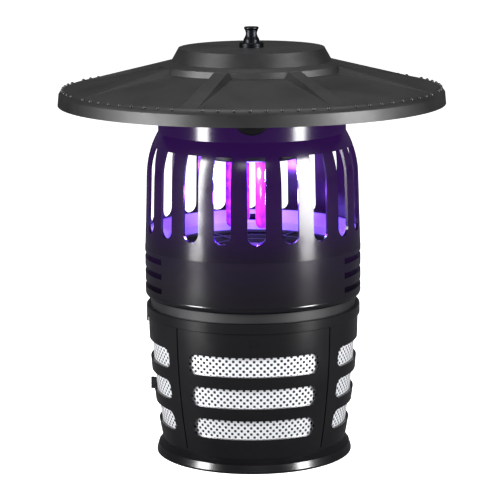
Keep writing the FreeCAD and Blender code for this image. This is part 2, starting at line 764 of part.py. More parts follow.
def lock_ring():
    """Twist-lock ring on top of the basket: the neck's lugs drop in through its gates and turn under its lip."""
    body = lathe("lock_ring", [
        ("cage_top_radius - cage_flange_reach", "cage_height"),
        ("ring_radius - ring_edge", "cage_height"),
        ("ring_radius", "cage_height + ring_edge"),
        ("ring_radius", RING_TOP + " - ring_edge"),
        ("ring_radius - ring_edge", RING_TOP),
        ("neck_radius + ring_play", RING_TOP),
        ("neck_radius + ring_play", RING_FLOOR),
        ("cage_top_radius - cage_flange_reach", RING_FLOOR),
    ])
    outside = "neck_radius + lug_reach + 1.3 * gap"
    channel = upright_sketch(body, "channel_sketch", "lug_turn - twist_angle / 2")
    rectangle(channel, "neck_radius", outside, NECK_FOOT + " - gap", LUG_TOP + " + gap")
    run = turned(body, channel, "channel", "lug_angle + twist_angle + 2 * twist_play_angle", cut=True)
    around(body, [run], "channels", "4")
    gate = upright_sketch(body, "gate_sketch", "lug_turn - twist_angle")
    rectangle(gate, "neck_radius", outside, LUG_TOP, RING_TOP + " + 1")
    way = turned(body, gate, "gate", "lug_angle + 2 * twist_play_angle", cut=True)
    around(body, [way], "gates", "4")
    arrow = upright_sketch(body, "arrow_tab_sketch", "arrow_tab_turn")
    rectangle(arrow, "cage_top_radius + gap", "ring_radius", "cage_height - arrow_tab_drop", "cage_height + 1")
    turned(body, arrow, "arrow_tab", "arrow_tab_angle")
    screw_holes(body, "lock_screw_holes", "screw_circle_radius", "0", "cage_height",
                "ring_flange - 0.3", down=False)
    return keep("lock_ring", body)


def seal_ring():
    """Foam ring on the lock ring's floor, just under the neck."""
    return keep("seal_ring", lathe("seal_ring", [
        ("neck_radius - seal_width", RING_FLOOR),
        ("neck_radius - 0.2", RING_FLOOR),
        ("neck_radius - 0.2", RING_FLOOR + " + seal_thick"),
        ("neck_radius - seal_width", RING_FLOOR + " + seal_thick"),
    ]))


# ---------------------------------------------------------------- fan section

def fan_duct():
    """Duct with the neck that the basket twists onto, and the spider that carries the motor."""
    body = lathe("fan_duct", [
        ("tube_radius", NECK_FOOT + " + tube_foot_rise"),
        ("tube_radius + tube_wall", NECK_FOOT + " + tube_foot_rise"),
        ("tube_radius + tube_wall", DUCT_SEAT),
        ("neck_radius - neck_wall", DUCT_SEAT),
        ("neck_radius - neck_wall", NECK_FOOT),
        ("neck_radius", NECK_FOOT),
        ("neck_radius", DUCT_SEAT),
        ("shroud_foot_radius - 0.5", DUCT_SEAT),
        ("shroud_foot_radius - 0.5", DUCT_FLANGE_TOP),
        ("tube_radius + tube_wall", DUCT_FLANGE_TOP),
        ("tube_radius + tube_wall", DUCT_TOP),
        ("tube_radius", DUCT_TOP),
    ])
    lug = upright_sketch(body, "lug_sketch", "lug_turn")
    rectangle(lug, "neck_radius - 1", "neck_radius + lug_reach", NECK_FOOT, LUG_TOP)
    lug_pad = turned(body, lug, "lug", "lug_angle")
    around(body, [lug_pad], "lugs", "4")
    seat = level_sketch(body, "motor_seat_sketch", ARM_FOOT)
    circle(seat, "0", "0", "motor_seat_radius")
    raised(body, seat, "motor_seat", "arm_thick")
    arm = level_sketch(body, "arm_sketch", ARM_FOOT, "lead_turn")
    rectangle(arm, "motor_seat_radius - 6", "tube_radius + 1", "-arm_width / 2", "arm_width / 2")
    arm_pad = raised(body, arm, "arm", "arm_thick")
    around(body, [arm_pad], "spider", "4")
    hole = level_sketch(body, "motor_seat_hole_sketch", ARM_TOP)
    circle(hole, "0", "0", "motor_seat_hole")
    sunk(body, hole, "motor_seat_bore", "arm_thick + 1")
    screw_holes(body, "motor_screw_holes", "motor_screw_circle", "screw_turn", ARM_TOP, "arm_thick + 1")
    screw_holes(body, "duct_screw_holes", "screw_circle_radius", "screw_turn", DUCT_FLANGE_TOP, "duct_flange + 1")
    drop = level_sketch(body, "lead_drop_sketch", DUCT_FLANGE_TOP, "lead_turn")
    circle(drop, LEAD_REACH, "0", "lead_radius + gap")
    sunk(body, drop, "lead_drop", "duct_flange + 1")
    side = facing_sketch(body, "lead_side_sketch", "(tube_radius - 4)", "lead_turn")
    circle(side, "0", LEAD_FLOOR, "lead_radius + gap")
    sunk(body, side, "lead_side", "tube_wall + 5.5", along=True)
    return keep("fan_duct", body)


def fan_shroud():
    """Outer band round the fan, with three sawtooth finger grooves on each side and four screw bosses inside."""
    bend = "(shroud_radius - shroud_foot_radius)"
    body = lathe("fan_shroud", [
        ("shroud_foot_radius", SHROUD_FOOT),
        ("shroud_radius", SHROUD_FOOT + " + shroud_bend",
         "shroud_radius - 0.27 * %s" % bend, SHROUD_FOOT + " + 0.3 * shroud_bend"),
        ("shroud_radius", HOUSING_FOOT),
        ("shroud_radius - wall", HOUSING_FOOT),
        ("shroud_radius - wall", DUCT_SEAT),
        ("neck_radius + 0.4", DUCT_SEAT),
        ("neck_radius + 0.4", SHROUD_FOOT),
    ])
    backing = upright_sketch(body, "grip_backing_sketch")
    rectangle(backing, "shroud_radius - wall - grip_backing", "shroud_radius - wall + 1",
              SHROUD_FOOT + " + grip_first_rise - 3", HOUSING_FOOT)
    backing_pad = turned(body, backing, "grip_backing", "grip_angle + 4")
    around(body, [backing_pad], "grip_backings", "2")
    grooves = []
    for row in range(3):
        low = "%s + grip_first_rise + %d * grip_pitch" % (SHROUD_FOOT, row)
        tooth = upright_sketch(body, "grip_sketch_%d" % row)
        outline(tooth, [
            ("shroud_radius - grip_depth", low),
            ("shroud_radius + 1", low),
            ("shroud_radius + 1", low + " + grip_height"),
        ])
        grooves.append(turned(body, tooth, "grip_%d" % row, "grip_angle", cut=True))
    around(body, grooves, "grips", "2")
    boss = level_sketch(body, "boss_sketch", DUCT_FLANGE_TOP, "screw_turn")
    circle(boss, "screw_circle_radius", "0", "shroud_boss_radius")
    boss_pad = raised(body, boss, "boss", "%s - %s" % (HOUSING_FOOT, DUCT_FLANGE_TOP))
    web = level_sketch(body, "boss_web_sketch", DUCT_FLANGE_TOP, "screw_turn")
    rectangle(web, "screw_circle_radius + 1", "shroud_radius - wall + 1", "-1.5", "1.5")
    web_pad = raised(body, web, "boss_web", "%s - %s" % (HOUSING_FOOT, DUCT_FLANGE_TOP))
    around(body, [boss_pad, web_pad], "bosses", "4")
    screw_holes(body, "boss_holes", "screw_circle_radius", "screw_turn", HOUSING_FOOT,
                "%s - %s + 1" % (HOUSING_FOOT, DUCT_FLANGE_TOP))
    return keep("fan_shroud", body)


def fan_motor():
    body = lathe("fan_motor", [
        ("bush_radius", ARM_TOP),
        ("motor_radius", ARM_TOP),
        ("motor_radius", MOTOR_TOP + " - motor_bevel"),
        ("motor_radius - motor_bevel", MOTOR_TOP),
        ("bush_radius", MOTOR_TOP),
    ])
    screw_holes(body, "motor_tapped_holes", "motor_screw_circle", "screw_turn", ARM_TOP, "10", down=False)
    return keep("fan_motor", body)


def shaft_bushes():
    """Two bronze bushes, pressed into the ends of the motor."""
    body = new_body("shaft_bushes")
    for name, level in (("low", ARM_TOP + " + 0.5"), ("high", MOTOR_TOP + " - 0.5 - bush_length")):
        sketch = level_sketch(body, "bush_%s_sketch" % name, level)
        circle(sketch, "0", "0", "bush_radius - 0.02")
        circle(sketch, "0", "0", "shaft_radius + shaft_play")
        raised(body, sketch, "bush_" + name, "bush_length")
    return keep("shaft_bushes", body)


def fan_shaft():
    body = new_body("fan_shaft")
    sketch = level_sketch(body, "shaft_sketch", ARM_TOP + " + gap")
    circle(sketch, "0", "0", "shaft_radius")
    raised(body, sketch, "shaft", "shaft_length")
    return keep("fan_shaft", body)


def impeller():
    """Axial fan with a cupped hub and twisted blades."""
    bore = "(shaft_radius + 0.02)"
    body = lathe("impeller", [
        (bore, HUB_FOOT + " + 3"),
        ("hub_boss_radius", HUB_FOOT + " + 3"),
        ("hub_boss_radius", HUB_TOP + " - 3"),
        ("hub_radius - hub_wall", HUB_TOP + " - 3"),
        ("hub_radius - hub_wall", HUB_FOOT),
        ("hub_radius", HUB_FOOT),
        ("hub_radius", HUB_TOP + " - 2"),
        ("hub_radius - 2", HUB_TOP),
        (bore, HUB_TOP),
    ])
    sections = []
    middle = "(%s + hub_height / 2 + 0.6)" % HUB_FOOT
    for end, distance in (("root", "blade_root"), ("tip", "blade_tip")):
        section = facing_sketch(body, "blade_" + end, distance)
        chord = "blade_%s_chord / 2" % end
        pitch = "blade_%s_pitch" % end
        half = "blade_thick / 2"
        corners = []
        for along, off in ((-1, -1), (1, -1), (1, 1), (-1, 1)):
            across = "%d * %s * cos(%s) - %d * %s * sin(%s)" % (along, chord, pitch, off, half, pitch)
            rise = "%s + %d * %s * sin(%s) + %d * %s * cos(%s)" % (middle, along, chord, pitch, off, half, pitch)
            corners.append((across, rise))
        outline(section, corners)
        sections.append(section)
    blade = body.newObject("PartDesign::AdditiveLoft", "blade")
    blade.Profile = sections[0]
    blade.Sections = [sections[1]]
    blade.Ruled = True
    around(body, [blade], "blades", "blade_count")
    return keep("impeller", body)


def impeller_nut():
    body = new_body("impeller_nut")
    sketch = level_sketch(body, "nut_sketch", HUB_TOP)
    corners = []
    for corner in range(6):
        angle = 60 * corner
        corners.append(("nut_radius * cos(%d)" % angle, "nut_radius * sin(%d)" % angle))
    outline(sketch, corners)
    circle(sketch, "0", "0", "shaft_radius + 0.02")
    raised(body, sketch, "nut", "nut_height")
    return keep("impeller_nut", body)


def fan_guard():
    """Finger guard clamped between the duct and the funnel: rings on six spokes."""
    body = new_body("fan_guard")
    rings = level_sketch(body, "guard_rings_sketch", DUCT_TOP)
    circle(rings, "0", "0", "tube_radius + tube_wall")
    circle(rings, "0", "0", "tube_radius + tube_wall - guard_rim_width")
    for row in (1, 2):
        circle(rings, "0", "0", "guard_hub_radius + %d * guard_pitch" % row)
        circle(rings, "0", "0", "guard_hub_radius + %d * guard_pitch - guard_ring_width" % row)
    circle(rings, "0", "0", "guard_hub_radius")
    raised(body, rings, "guard_rings", "guard_thick")
    spoke = level_sketch(body, "spoke_sketch", DUCT_TOP)
    rectangle(spoke, "guard_hub_radius - 2", "tube_radius + tube_wall - guard_rim_width + 1",
              "-guard_ring_width / 2", "guard_ring_width / 2")
    spoke_pad = raised(body, spoke, "spoke", "guard_thick")
    around(body, [spoke_pad], "spokes", "guard_spokes")
    return keep("fan_guard", body)


def funnel():
    """Coated funnel that leads from the lamp chamber into the duct."""
    throat = "(tube_radius + 0.4)"
    wide = "(housing_foot_radius - wall - funnel_play - 0.4)"
    shelf = "(%s + funnel_skirt)" % GUARD_TOP
    rim = "(%s + funnel_cone)" % shelf
    body = lathe("funnel", [
        (throat, GUARD_TOP),
        (throat + " + funnel_wall", GUARD_TOP),
        (throat + " + funnel_wall", shelf),
        (wide, rim),
        (wide + " - funnel_wall * 1.2", rim),
        (throat, shelf + " + 0.4"),
    ])
    window = facing_sketch(body, "snap_window_sketch", "(tube_radius - 10)", "90")
    rectangle(window, "-snap_window_width / 2", "snap_window_width / 2", shelf + " + 2",
              shelf + " + 2 + snap_window_height")
    sunk(body, window, "snap_window", "40", along=True)
    drop = level_sketch(body, "lead_hole_sketch", rim + " + 1", "lead_turn")
    circle(drop, LEAD_REACH, "0", "lead_radius + gap")
    sunk(body, drop, "lead_hole", "funnel_cone + 2")
    return keep("funnel", body)


def fan_lead():
    """Lead from the circuit board to the motor: down behind one bar of the chamber and in along a spider arm."""
    turn = math.radians(number("lead_turn"))
    out = FreeCAD.Vector(math.cos(turn), math.sin(turn), 0)
    radius = number("lead_radius")
    bend = number("lead_bend")
    corners = [
        (number("lead_top_reach"), number(BOARD_FOOT)),
        (number("lead_top_reach"), number(CARRIER_SEAT) - 10),
        (number(LEAD_REACH), number(CARRIER_SEAT) - 27),
        (number(LEAD_REACH), number(LEAD_FLOOR)),
        (number("motor_radius"), number(LEAD_FLOOR)),
    ]
    spots = [out * reach + FreeCAD.Vector(0, 0, height) for reach, height in corners]
    small = number("(screw_circle_radius - tube_radius - tube_wall) * 1.3")
    edges = []
    start = spots[0]
    for before, corner, after, size in zip(spots, spots[1:], spots[2:], (bend, bend, small)):
        entry = (before - corner).normalize()
        leave = (after - corner).normalize()
        half = entry.getAngle(leave) / 2
        back = size / math.tan(half)
        first = corner + entry * back
        last = corner + leave * back
        middle_way = (entry + leave).normalize()
        crown = corner + middle_way * (size / math.sin(half) - size)
        edges.append(Part.LineSegment(start, first).toShape())
        edges.append(Part.Arc(first, crown, last).toShape())
        start = last
    edges.append(Part.LineSegment(start, spots[-1]).toShape())
    path = Part.Wire(edges)
    round_edge = Part.Circle(spots[0], FreeCAD.Vector(0, 0, -1), radius).toShape()
    lead = doc.addObject("Part::Feature", "fan_lead")
    lead.Shape = path.makePipeShell([Part.Wire([round_edge])], True, False)
    return keep("fan_lead", lead)


# ---------------------------------------------------------------- lamp chamber

def lamp_housing():
    """Slotted chamber round the lamps, with its shoulder and the collar that carries the canopy."""
    bend_z = "(%s - slot_bend_drop)" % SLOT_TOP
    mid_z = "(%s - slot_bend_mid_drop)" % SLOT_TOP
    body = lathe("lamp_housing", [
        ("housing_foot_radius", HOUSING_FOOT),
        ("housing_upper_radius", bend_z),
        ("collar_radius", COLLAR_FOOT, "housing_bend_radius", mid_z),
        ("collar_radius", COLLAR_TOP),
        ("collar_radius - collar_flange_width", COLLAR_TOP),
        ("collar_radius - collar_flange_width", COLLAR_TOP + " - collar_flange"),
        ("collar_radius - wall", COLLAR_TOP + " - collar_flange"),
        ("collar_radius - wall", CARRIER_SEAT),
        ("collar_radius - wall - ledge_width", CARRIER_SEAT),
        ("collar_radius - wall - ledge_width", CARRIER_SEAT + " - ledge_thick"),
        ("collar_radius - wall / 2", CARRIER_SEAT + " - ledge_thick"),
        ("housing_upper_radius - wall", bend_z,
         "housing_bend_radius - 0.85 * wall", mid_z + " - 0.4 * wall"),
        ("housing_foot_radius - wall", HOUSING_FOOT + " + wall"),
        ("housing_foot_radius - wall - housing_flange_width", HOUSING_FOOT + " + wall"),
        ("housing_foot_radius - wall - housing_flange_width", HOUSING_FOOT),
    ])
    slot = facing_sketch(body, "slot_sketch", "(housing_foot_radius / 2)", "slot_turn")
    half = "slot_width / 2"
    outline(slot, [
        ("-" + half, SLOT_TOP),
        ("-" + half, SLOT_FOOT + " + " + half),
        (half, SLOT_FOOT + " + " + half, "0", SLOT_FOOT),
        (half, SLOT_TOP),
    ])
    slot_cut = sunk(body, slot, "slot", "housing_foot_radius", along=True)
    around(body, [slot_cut], "slots", "slot_count")
    button = facing_sketch(body, "button_hole_sketch", "(collar_radius / 2)", "-90")
    circle(button, "0", BUTTON_Z, "button_radius + gap")
    sunk(body, button, "button_hole", "collar_radius", along=True)
    inlet = facing_sketch(body, "gland_hole_sketch", "(collar_radius / 2)", "90")
    circle(inlet, "0", GLAND_Z, "gland_radius + 0.2")
    sunk(body, inlet, "gland_hole", "collar_radius", along=True)
    screw_holes(body, "foot_screw_holes", "screw_circle_radius", "screw_turn", HOUSING_FOOT + " + wall", "wall + 1")
    screw_holes(body, "carrier_holes", "carrier_screw_circle", "screw_turn", CARRIER_SEAT, "ledge_thick + 1")
    screw_holes(body, "roof_holes", "roof_screw_circle", "screw_turn", COLLAR_TOP, "collar_flange + 1")
    drop = level_sketch(body, "lead_notch_sketch", HOUSING_FOOT + " + wall", "lead_turn")
    circle(drop, LEAD_REACH, "0", "lead_radius + gap")
    sunk(body, drop, "lead_notch", "wall + 1")
    return keep("lamp_housing", body)


def board_posts(sketch, radius):
    """The four corners where the circuit board is held."""
    for side in (-1, 1):
        for corner_y in ("post_front_y", "post_rear_y"):
            circle(sketch, "%d * post_x" % side, corner_y, radius)


def lamp_carrier():
    """Ceiling plate of the lamp chamber. The board stands on its posts, and the lamp block hangs under it."""
    body = new_body("lamp_carrier")
    plate = level_sketch(body, "carrier_sketch", CARRIER_SEAT)
    circle(plate, "0", "0", "collar_radius - wall - gap")
    raised(body, plate, "carrier_plate", "carrier_thick")
    posts = level_sketch(body, "post_sketch", CARRIER_TOP)
    board_posts(posts, "post_radius")
    raised(body, posts, "posts", "post_height")
    holes = level_sketch(body, "post_hole_sketch", BOARD_FOOT)
    board_posts(holes, "screw_radius + screw_play")
    sunk(body, holes, "post_holes", "post_height")
    screw_holes(body, "plate_screw_holes", "carrier_screw_circle", "screw_turn", CARRIER_TOP, "carrier_thick + 1")
    drop = level_sketch(body, "lead_plate_sketch", CARRIER_TOP, "lead_turn")
    circle(drop, "lead_top_reach", "0", "lead_radius + gap")
    sunk(body, drop, "lead_plate_hole", "carrier_thick + 1")
    return keep("lamp_carrier", body)


def lamp_block():
    """Cup under the carrier that the lamp bases plug into, open for the indicator at its centre."""
    body = lathe("lamp_block", [
        ("lens_radius + 0.2", BLOCK_FOOT),
        ("block_radius - 1.5", BLOCK_FOOT),
        ("block_radius", BLOCK_FOOT + " + 1.5"),
        ("block_radius", CARRIER_SEAT),
        ("block_radius - block_wall", CARRIER_SEAT),
        ("block_radius - block_wall", BLOCK_FOOT + " + block_wall"),
        ("lens_radius + 0.2", BLOCK_FOOT + " + block_wall"),
    ])
    holes = level_sketch(body, "base_hole_sketch", BLOCK_FOOT + " + block_wall", "lamp_turn")
    for side in (-1, 1):
        rounded_rectangle(holes, "%d * lamp_offset" % side, "0", "(base_half_width + 0.2)",
                          "(base_half_length + 0.2)", "(base_corner + 0.2)")
    sunk(body, holes, "base_holes", "block_wall + 1")
    return keep("lamp_block", body)


def base_pins(sketch, side, radius):
    """Four contact pins of one lamp base."""
    for along in (-1, 1):
        for across in (-1, 1):
            circle(sketch, "%d * lamp_offset + %d * base_pin_spread" % (side, across),
                   "%d * lamp_offset" % along, radius)


def lamp_base(label, side):
    """Plastic base that both legs of one lamp are cemented into, with its contact pins."""
    body = new_body(label)
    block = level_sketch(body, label + "_sketch", BASE_FOOT, "lamp_turn")
    rounded_rectangle(block, "%d * lamp_offset" % side, "0", "base_half_width", "base_half_length", "base_corner")
    raised(body, block, label + "_block", "base_height")
    pins = level_sketch(body, label + "_pin_sketch", BASE_TOP, "lamp_turn")
    base_pins(pins, side, "base_pin_radius")
    raised(body, pins, label + "_pins", "base_pin_length")
    return keep(label, body)


def lamp_socket(label, side):
    """Socket between the lamp base and the carrier plate."""
    body = new_body(label)
    block = level_sketch(body, label + "_sketch", BASE_TOP, "lamp_turn")
    rectangle(block, "%d * lamp_offset - base_half_width + 0.6" % side, "%d * lamp_offset + base_half_width - 0.6" % side,
              "-base_half_length + 1.5", "base_half_length - 1.5")
    raised(body, block, label + "_block", "%s - %s" % (CARRIER_SEAT, BASE_TOP))
    pins = level_sketch(body, label + "_pin_sketch", BASE_TOP, "lamp_turn")
    base_pins(pins, side, "base_pin_radius + seat_gap")
    sunk(body, pins, label + "_contacts", "base_pin_length + gap", along=True)
    return keep(label, body)


def lamp_tube(label, side):
    """Glass of one twin-leg ultraviolet lamp: two legs with domed ends and a bridge between them."""
    parts = []
    centre_x = "%d * lamp_offset" % side
    dome_z = "(%s + lamp_radius)" % LAMP_FOOT
    for along in (-1, 1):
        leg = doc.addObject("Part::Cylinder", "%s_leg_%d" % (label, along + 1))
        leg.setExpression("Radius", bind("lamp_radius"))
        leg.setExpression("Height", bind("%s - %s" % (BASE_FOOT, dome_z)))
        dome = doc.addObject("Part::Sphere", "%s_dome_%d" % (label, along + 1))
        dome.setExpression("Radius", bind("lamp_radius"))
        for solid in (leg, dome):
            solid.setExpression("Placement.Base.x", bind(centre_x))
            solid.setExpression("Placement.Base.y", bind("%d * lamp_offset" % along))
            solid.setExpression("Placement.Base.z", bind(dome_z))
            parts.append(solid)
    bridge = doc.addObject("Part::Cylinder", label + "_bridge")
    bridge.setExpression("Radius", bind("lamp_bridge_radius"))
    bridge.setExpression("Height", bind("2 * lamp_offset"))
    bridge.Placement = FreeCAD.Placement(FreeCAD.Vector(0, 0, 0), FreeCAD.Rotation(FreeCAD.Vector(1, 0, 0), -90))
    bridge.setExpression("Placement.Base.x", bind(centre_x))
    bridge.setExpression("Placement.Base.y", bind("0 - lamp_offset"))
    bridge.setExpression("Placement.Base.z", bind("%s + lamp_bridge_rise" % LAMP_FOOT))
    parts.append(bridge)
    joined = doc.addObject("Part::MultiFuse", label)
    joined.Shapes = parts
    joined.Refine = True
    joined.Placement = FreeCAD.Placement(FreeCAD.Vector(0, 0, 0), FreeCAD.Rotation(FreeCAD.Vector(0, 0, 1), 1))
    joined.setExpression("Placement.Rotation.Angle", bind("lamp_turn"))
    return keep(label, joined)


def indicator_lens():
    """Clear dome at the centre of the lamp block, with a light source behind it."""
    return keep("indicator_lens", lathe("indicator_lens", [
        ("0", BLOCK_FOOT + " - lens_drop"),
        ("lens_radius", BLOCK_FOOT + " - lens_drop / 3",
         "0.75 * lens_radius", BLOCK_FOOT + " - 0.78 * lens_drop"),
        ("lens_radius", BLOCK_FOOT + " + block_wall"),
        ("lens_radius + 1", BLOCK_FOOT + " + block_wall"),
        ("lens_radius + 1", BLOCK_FOOT + " + block_wall + lens_flange"),
        ("0", BLOCK_FOOT + " + block_wall + lens_flange"),
    ]))


# ---------------------------------------------------------------- electronics bay

def circuit_board():
    body = new_body("circuit_board")
    sheet_sketch = level_sketch(body, "board_sketch", BOARD_FOOT)
    rectangle(sheet_sketch, "0 - board_half_width", "board_half_width", "board_front_y", "board_rear_y")
    raised(body, sheet_sketch, "board", "board_thick")
    holes = level_sketch(body, "board_hole_sketch", BOARD_TOP)
    board_posts(holes, "screw_radius + screw_play")
    sunk(body, holes, "board_holes", "board_thick + 1")
    return keep("circuit_board", body)


def board_screws():
    body = new_body("board_screws")
    heads = level_sketch(body, "board_screw_heads_sketch", BOARD_TOP)
    board_posts(heads, "screw_head_radius")
    raised(body, heads, "board_screw_heads", "screw_head_height")
    shanks = level_sketch(body, "board_screw_shanks_sketch", BOARD_TOP)
    board_posts(shanks, "screw_radius")
    raised(body, shanks, "board_screw_shanks", "board_thick + post_height - 1", back=True)
    return keep("board_screws", body)


def transformer():
    box = doc.addObject("Part::Box", "transformer")
    box.setExpression("Length", bind("transformer_width"))
    box.setExpression("Width", bind("transformer_depth"))
    box.setExpression("Height", bind("transformer_height"))
    box.setExpression("Placement.Base.x", bind("0 - transformer_width"))
    box.setExpression("Placement.Base.y", bind("0 - transformer_depth / 2"))
    box.setExpression("Placement.Base.z", bind(BOARD_TOP))
    return keep("transformer", box)


def capacitors():
    body = new_body("capacitors")
    sketch = level_sketch(body, "capacitor_sketch", BOARD_TOP)
    for row in range(3):
        circle(sketch, "transformer_width / 2", "%d * 2.5 * capacitor_radius - capacitor_radius" % row,
               "capacitor_radius")
    raised(body, sketch, "capacitor_cans", "capacitor_height")
    return keep("capacitors", body)


def power_switch():
    """Push switch on the carrier plate, behind the button."""
    box = doc.addObject("Part::Box", "power_switch")
    box.setExpression("Length", bind("switch_width"))
    box.setExpression("Width", bind("switch_depth"))
    box.setExpression("Height", bind("switch_height"))
    box.setExpression("Placement.Base.x", bind("0 - switch_width / 2"))
    box.setExpression("Placement.Base.y", bind("0 - %s" % SWITCH_FACE))
    box.setExpression("Placement.Base.z", bind(CARRIER_TOP))
    return keep("power_switch", box)


def aimed(item, towards_front):
    """Lay a piece that was drawn upright along Y, at the height of the button or of the cable inlet."""
    angle = 90 if towards_front else -90
    item.Placement = FreeCAD.Placement(FreeCAD.Vector(0, 0, 0), FreeCAD.Rotation(FreeCAD.Vector(1, 0, 0), angle))
    item.setExpression("Placement.Base.z", bind(BUTTON_Z if towards_front else GLAND_Z))
    return item


def power_button():
    """Round push button in the front of the collar, held by its flange, with a stem to the switch."""
    face = "(collar_radius + button_proud)"
    flange_out = "(collar_radius - button_flange_depth)"
    flange_in = "(%s - button_flange_thick)" % flange_out
    body = lathe("power_button", [
        ("0", flange_in + " - button_stem_length"),
        ("button_stem_radius", flange_in + " - button_stem_length"),
        ("button_stem_radius", flange_in),
        ("button_flange_radius", flange_in),
        ("button_flange_radius", flange_out),
        ("button_radius", flange_out),
        ("button_radius", face + " - button_bevel"),
        ("button_radius - button_bevel", face),
        ("button_radius - 2 * button_bevel", face),
        ("0", face + " - 0.4"),
    ])
    return keep("power_button", aimed(body, True))


def button_spring():
    """Coil spring round the stem, between the button's flange and the switch."""
    flange_in = "(collar_radius - button_flange_depth - button_flange_thick)"
    low = "(%s + spring_wire + 0.1)" % SWITCH_FACE
    length = "(%s - %s - 2 * (spring_wire + 0.1))" % (flange_in, SWITCH_FACE)
    body = new_body("button_spring")
    wire = upright_sketch(body, "spring_wire_sketch")
    circle(wire, "spring_radius", low, "spring_wire")
    coil = body.newObject("PartDesign::AdditiveHelix", "spring_coil")
    coil.Profile = wire
    coil.ReferenceAxis = (wire, ["V_Axis"])
    coil.Mode = 0
    coil.setExpression("Pitch", bind("%s / spring_turns" % length))
    coil.setExpression("Height", bind(length))
    return keep("button_spring", aimed(body, True))


def cable_gland():
    """Gland for a round cable, through the rear of the collar."""
    back = "(collar_radius + 0.1)"
    body = lathe("cable_gland", [
        ("gland_bore", back + " - gland_tail"),
        ("gland_radius", back + " - gland_tail"),
        ("gland_radius", back),
        ("gland_head_radius", back),
        ("gland_head_radius", back + " + gland_head"),
        ("gland_radius", back + " + gland_head + gland_nose"),
        ("gland_bore", back + " + gland_head + gland_nose"),
    ])
    return keep("cable_gland", aimed(body, False))


def hexagon(sketch, half_flat):
    corners = []
    for corner in range(6):
        angle = 60 * corner + 30
        corners.append(("%s / cos(30) * cos(%d)" % (half_flat, angle), "%s / cos(30) * sin(%d)" % (half_flat, angle)))
    outline(sketch, corners)


def gland_nut():
    body = new_body("gland_nut")
    inside = "(sqrt((collar_radius - wall) ^ 2 - (gland_nut_flat / cos(30)) ^ 2) - 0.1)"
    sketch = level_sketch(body, "gland_nut_sketch", inside)
    hexagon(sketch, "gland_nut_flat")
    circle(sketch, "0", "0", "gland_radius + seat_gap")
    raised(body, sketch, "gland_nut_hex", "gland_nut_thick", back=True)
    return keep("gland_nut", aimed(body, False))


# ---------------------------------------------------------------- canopy and hanger

def cone_rise(radius):
    """Height of the canopy's cone above its seat on the collar."""
    return "(boss_foot_rise - cone_slope * (%s - boss_foot_radius))" % radius


def roof():
    """Canopy: a raised boss, a cone with eight sunk panels between ribs, and a short skirt at the edge."""
    seat = COLLAR_TOP
    panel_foot = "(ledge_radius + step_run)"
    end_rise = cone_rise("panel_end_radius")
    inner_ring = "(%s + roof_wall)" % panel_foot
    body = new_body("roof")
    sketch = upright_sketch(body, "roof_outline")
    outline(sketch, [
        ("stud_hole_radius", BOSS_TOP),
        ("boss_top_radius", BOSS_TOP),
        ("boss_foot_radius", seat + " + boss_foot_rise"),
        ("ledge_radius", seat + " + ledge_rise"),
        (panel_foot, seat + " + step_foot_rise"),
        ("panel_end_radius", seat + " + " + end_rise),
        ("edge_radius", seat + " - edge_drop", "edge_bend_radius", seat + " - edge_bend_drop"),
        ("roof_radius", seat + " - roof_rim_drop"),
        ("roof_radius - roof_wall", seat + " - roof_rim_drop"),
        ("edge_radius - roof_wall", seat + " - edge_drop - 0.5"),
        ("panel_end_radius", seat + " + " + end_rise + " - roof_wall"),
        (inner_ring, seat + " + 0.5"),
        (inner_ring, seat),
        ("roof_seat_radius", seat),
        ("roof_seat_radius", seat + " + ledge_rise - roof_wall"),
        ("boss_foot_radius - roof_wall", seat + " + boss_foot_rise - roof_wall"),
        ("boss_top_radius - roof_wall", BOSS_TOP + " - roof_wall"),
        ("stud_hole_radius", BOSS_TOP + " - roof_wall"),
    ])
    turned(body, sketch, "roof_turned")
    sections = []
    for end, distance, width, depth in (
            ("inner", "(ledge_radius - 1)", "rib_inner_width / 2", "(ledge_rise - step_foot_rise + 1)"),
            ("outer", "(panel_end_radius - 1)", "rib_outer_width / 2", "(roof_wall / 2)")):
        top = "%s + %s - 0.1" % (seat, cone_rise(distance))
        base = "(%s + rib_side_slope * %s)" % (width, depth)
        section = facing_sketch(body, "rib_" + end, distance, "rib_turn")
        outline(section, [
            ("-" + width, top),
            ("-" + base, top + " - " + depth),
            (base, top + " - " + depth),
            (width, top),
        ])
        sections.append(section)
    rib = body.newObject("PartDesign::AdditiveLoft", "rib")
    rib.Profile = sections[0]
    rib.Sections = [sections[1]]
    rib.Ruled = True
    around(body, [rib], "ribs", "rib_count")
    posts = level_sketch(body, "roof_post_sketch", seat)
    ring_of_circles(posts, "roof_screw_circle", "screw_turn", 4, "roof_post_radius")
    raised(body, posts, "roof_posts", "ledge_rise")
    screw_holes(body, "roof_post_holes", "roof_screw_circle", "screw_turn", seat, "ledge_rise - 1", down=False)
    slot = level_sketch(body, "sensor_slot_sketch", BOSS_TOP)
    rectangle(slot, "sensor_x - sensor_window_width / 2", "sensor_x + sensor_window_width / 2",
              "sensor_y - sensor_window_depth / 2", "sensor_y + sensor_window_depth / 2")
    sunk(body, slot, "sensor_slot", "roof_wall + 1")
    return keep("roof", body)


def sensor_window():
    body = new_body("sensor_window")
    sketch = level_sketch(body, "sensor_window_sketch", BOSS_TOP + " - 0.4")
    rectangle(sketch, "sensor_x - sensor_window_width / 2 + seat_gap", "sensor_x + sensor_window_width / 2 - seat_gap",
              "sensor_y - sensor_window_depth / 2 + seat_gap", "sensor_y + sensor_window_depth / 2 - seat_gap")
    raised(body, sketch, "sensor_pane", "roof_wall - 0.4", back=True)
    return keep("sensor_window", body)


def light_sensor():
    body = new_body("light_sensor")
    sketch = level_sketch(body, "light_sensor_sketch", BOSS_TOP + " - roof_wall")
    circle(sketch, "sensor_x", "sensor_y", "sensor_radius")
    raised(body, sketch, "sensor_can", "sensor_height", back=True)
    return keep("light_sensor", body)


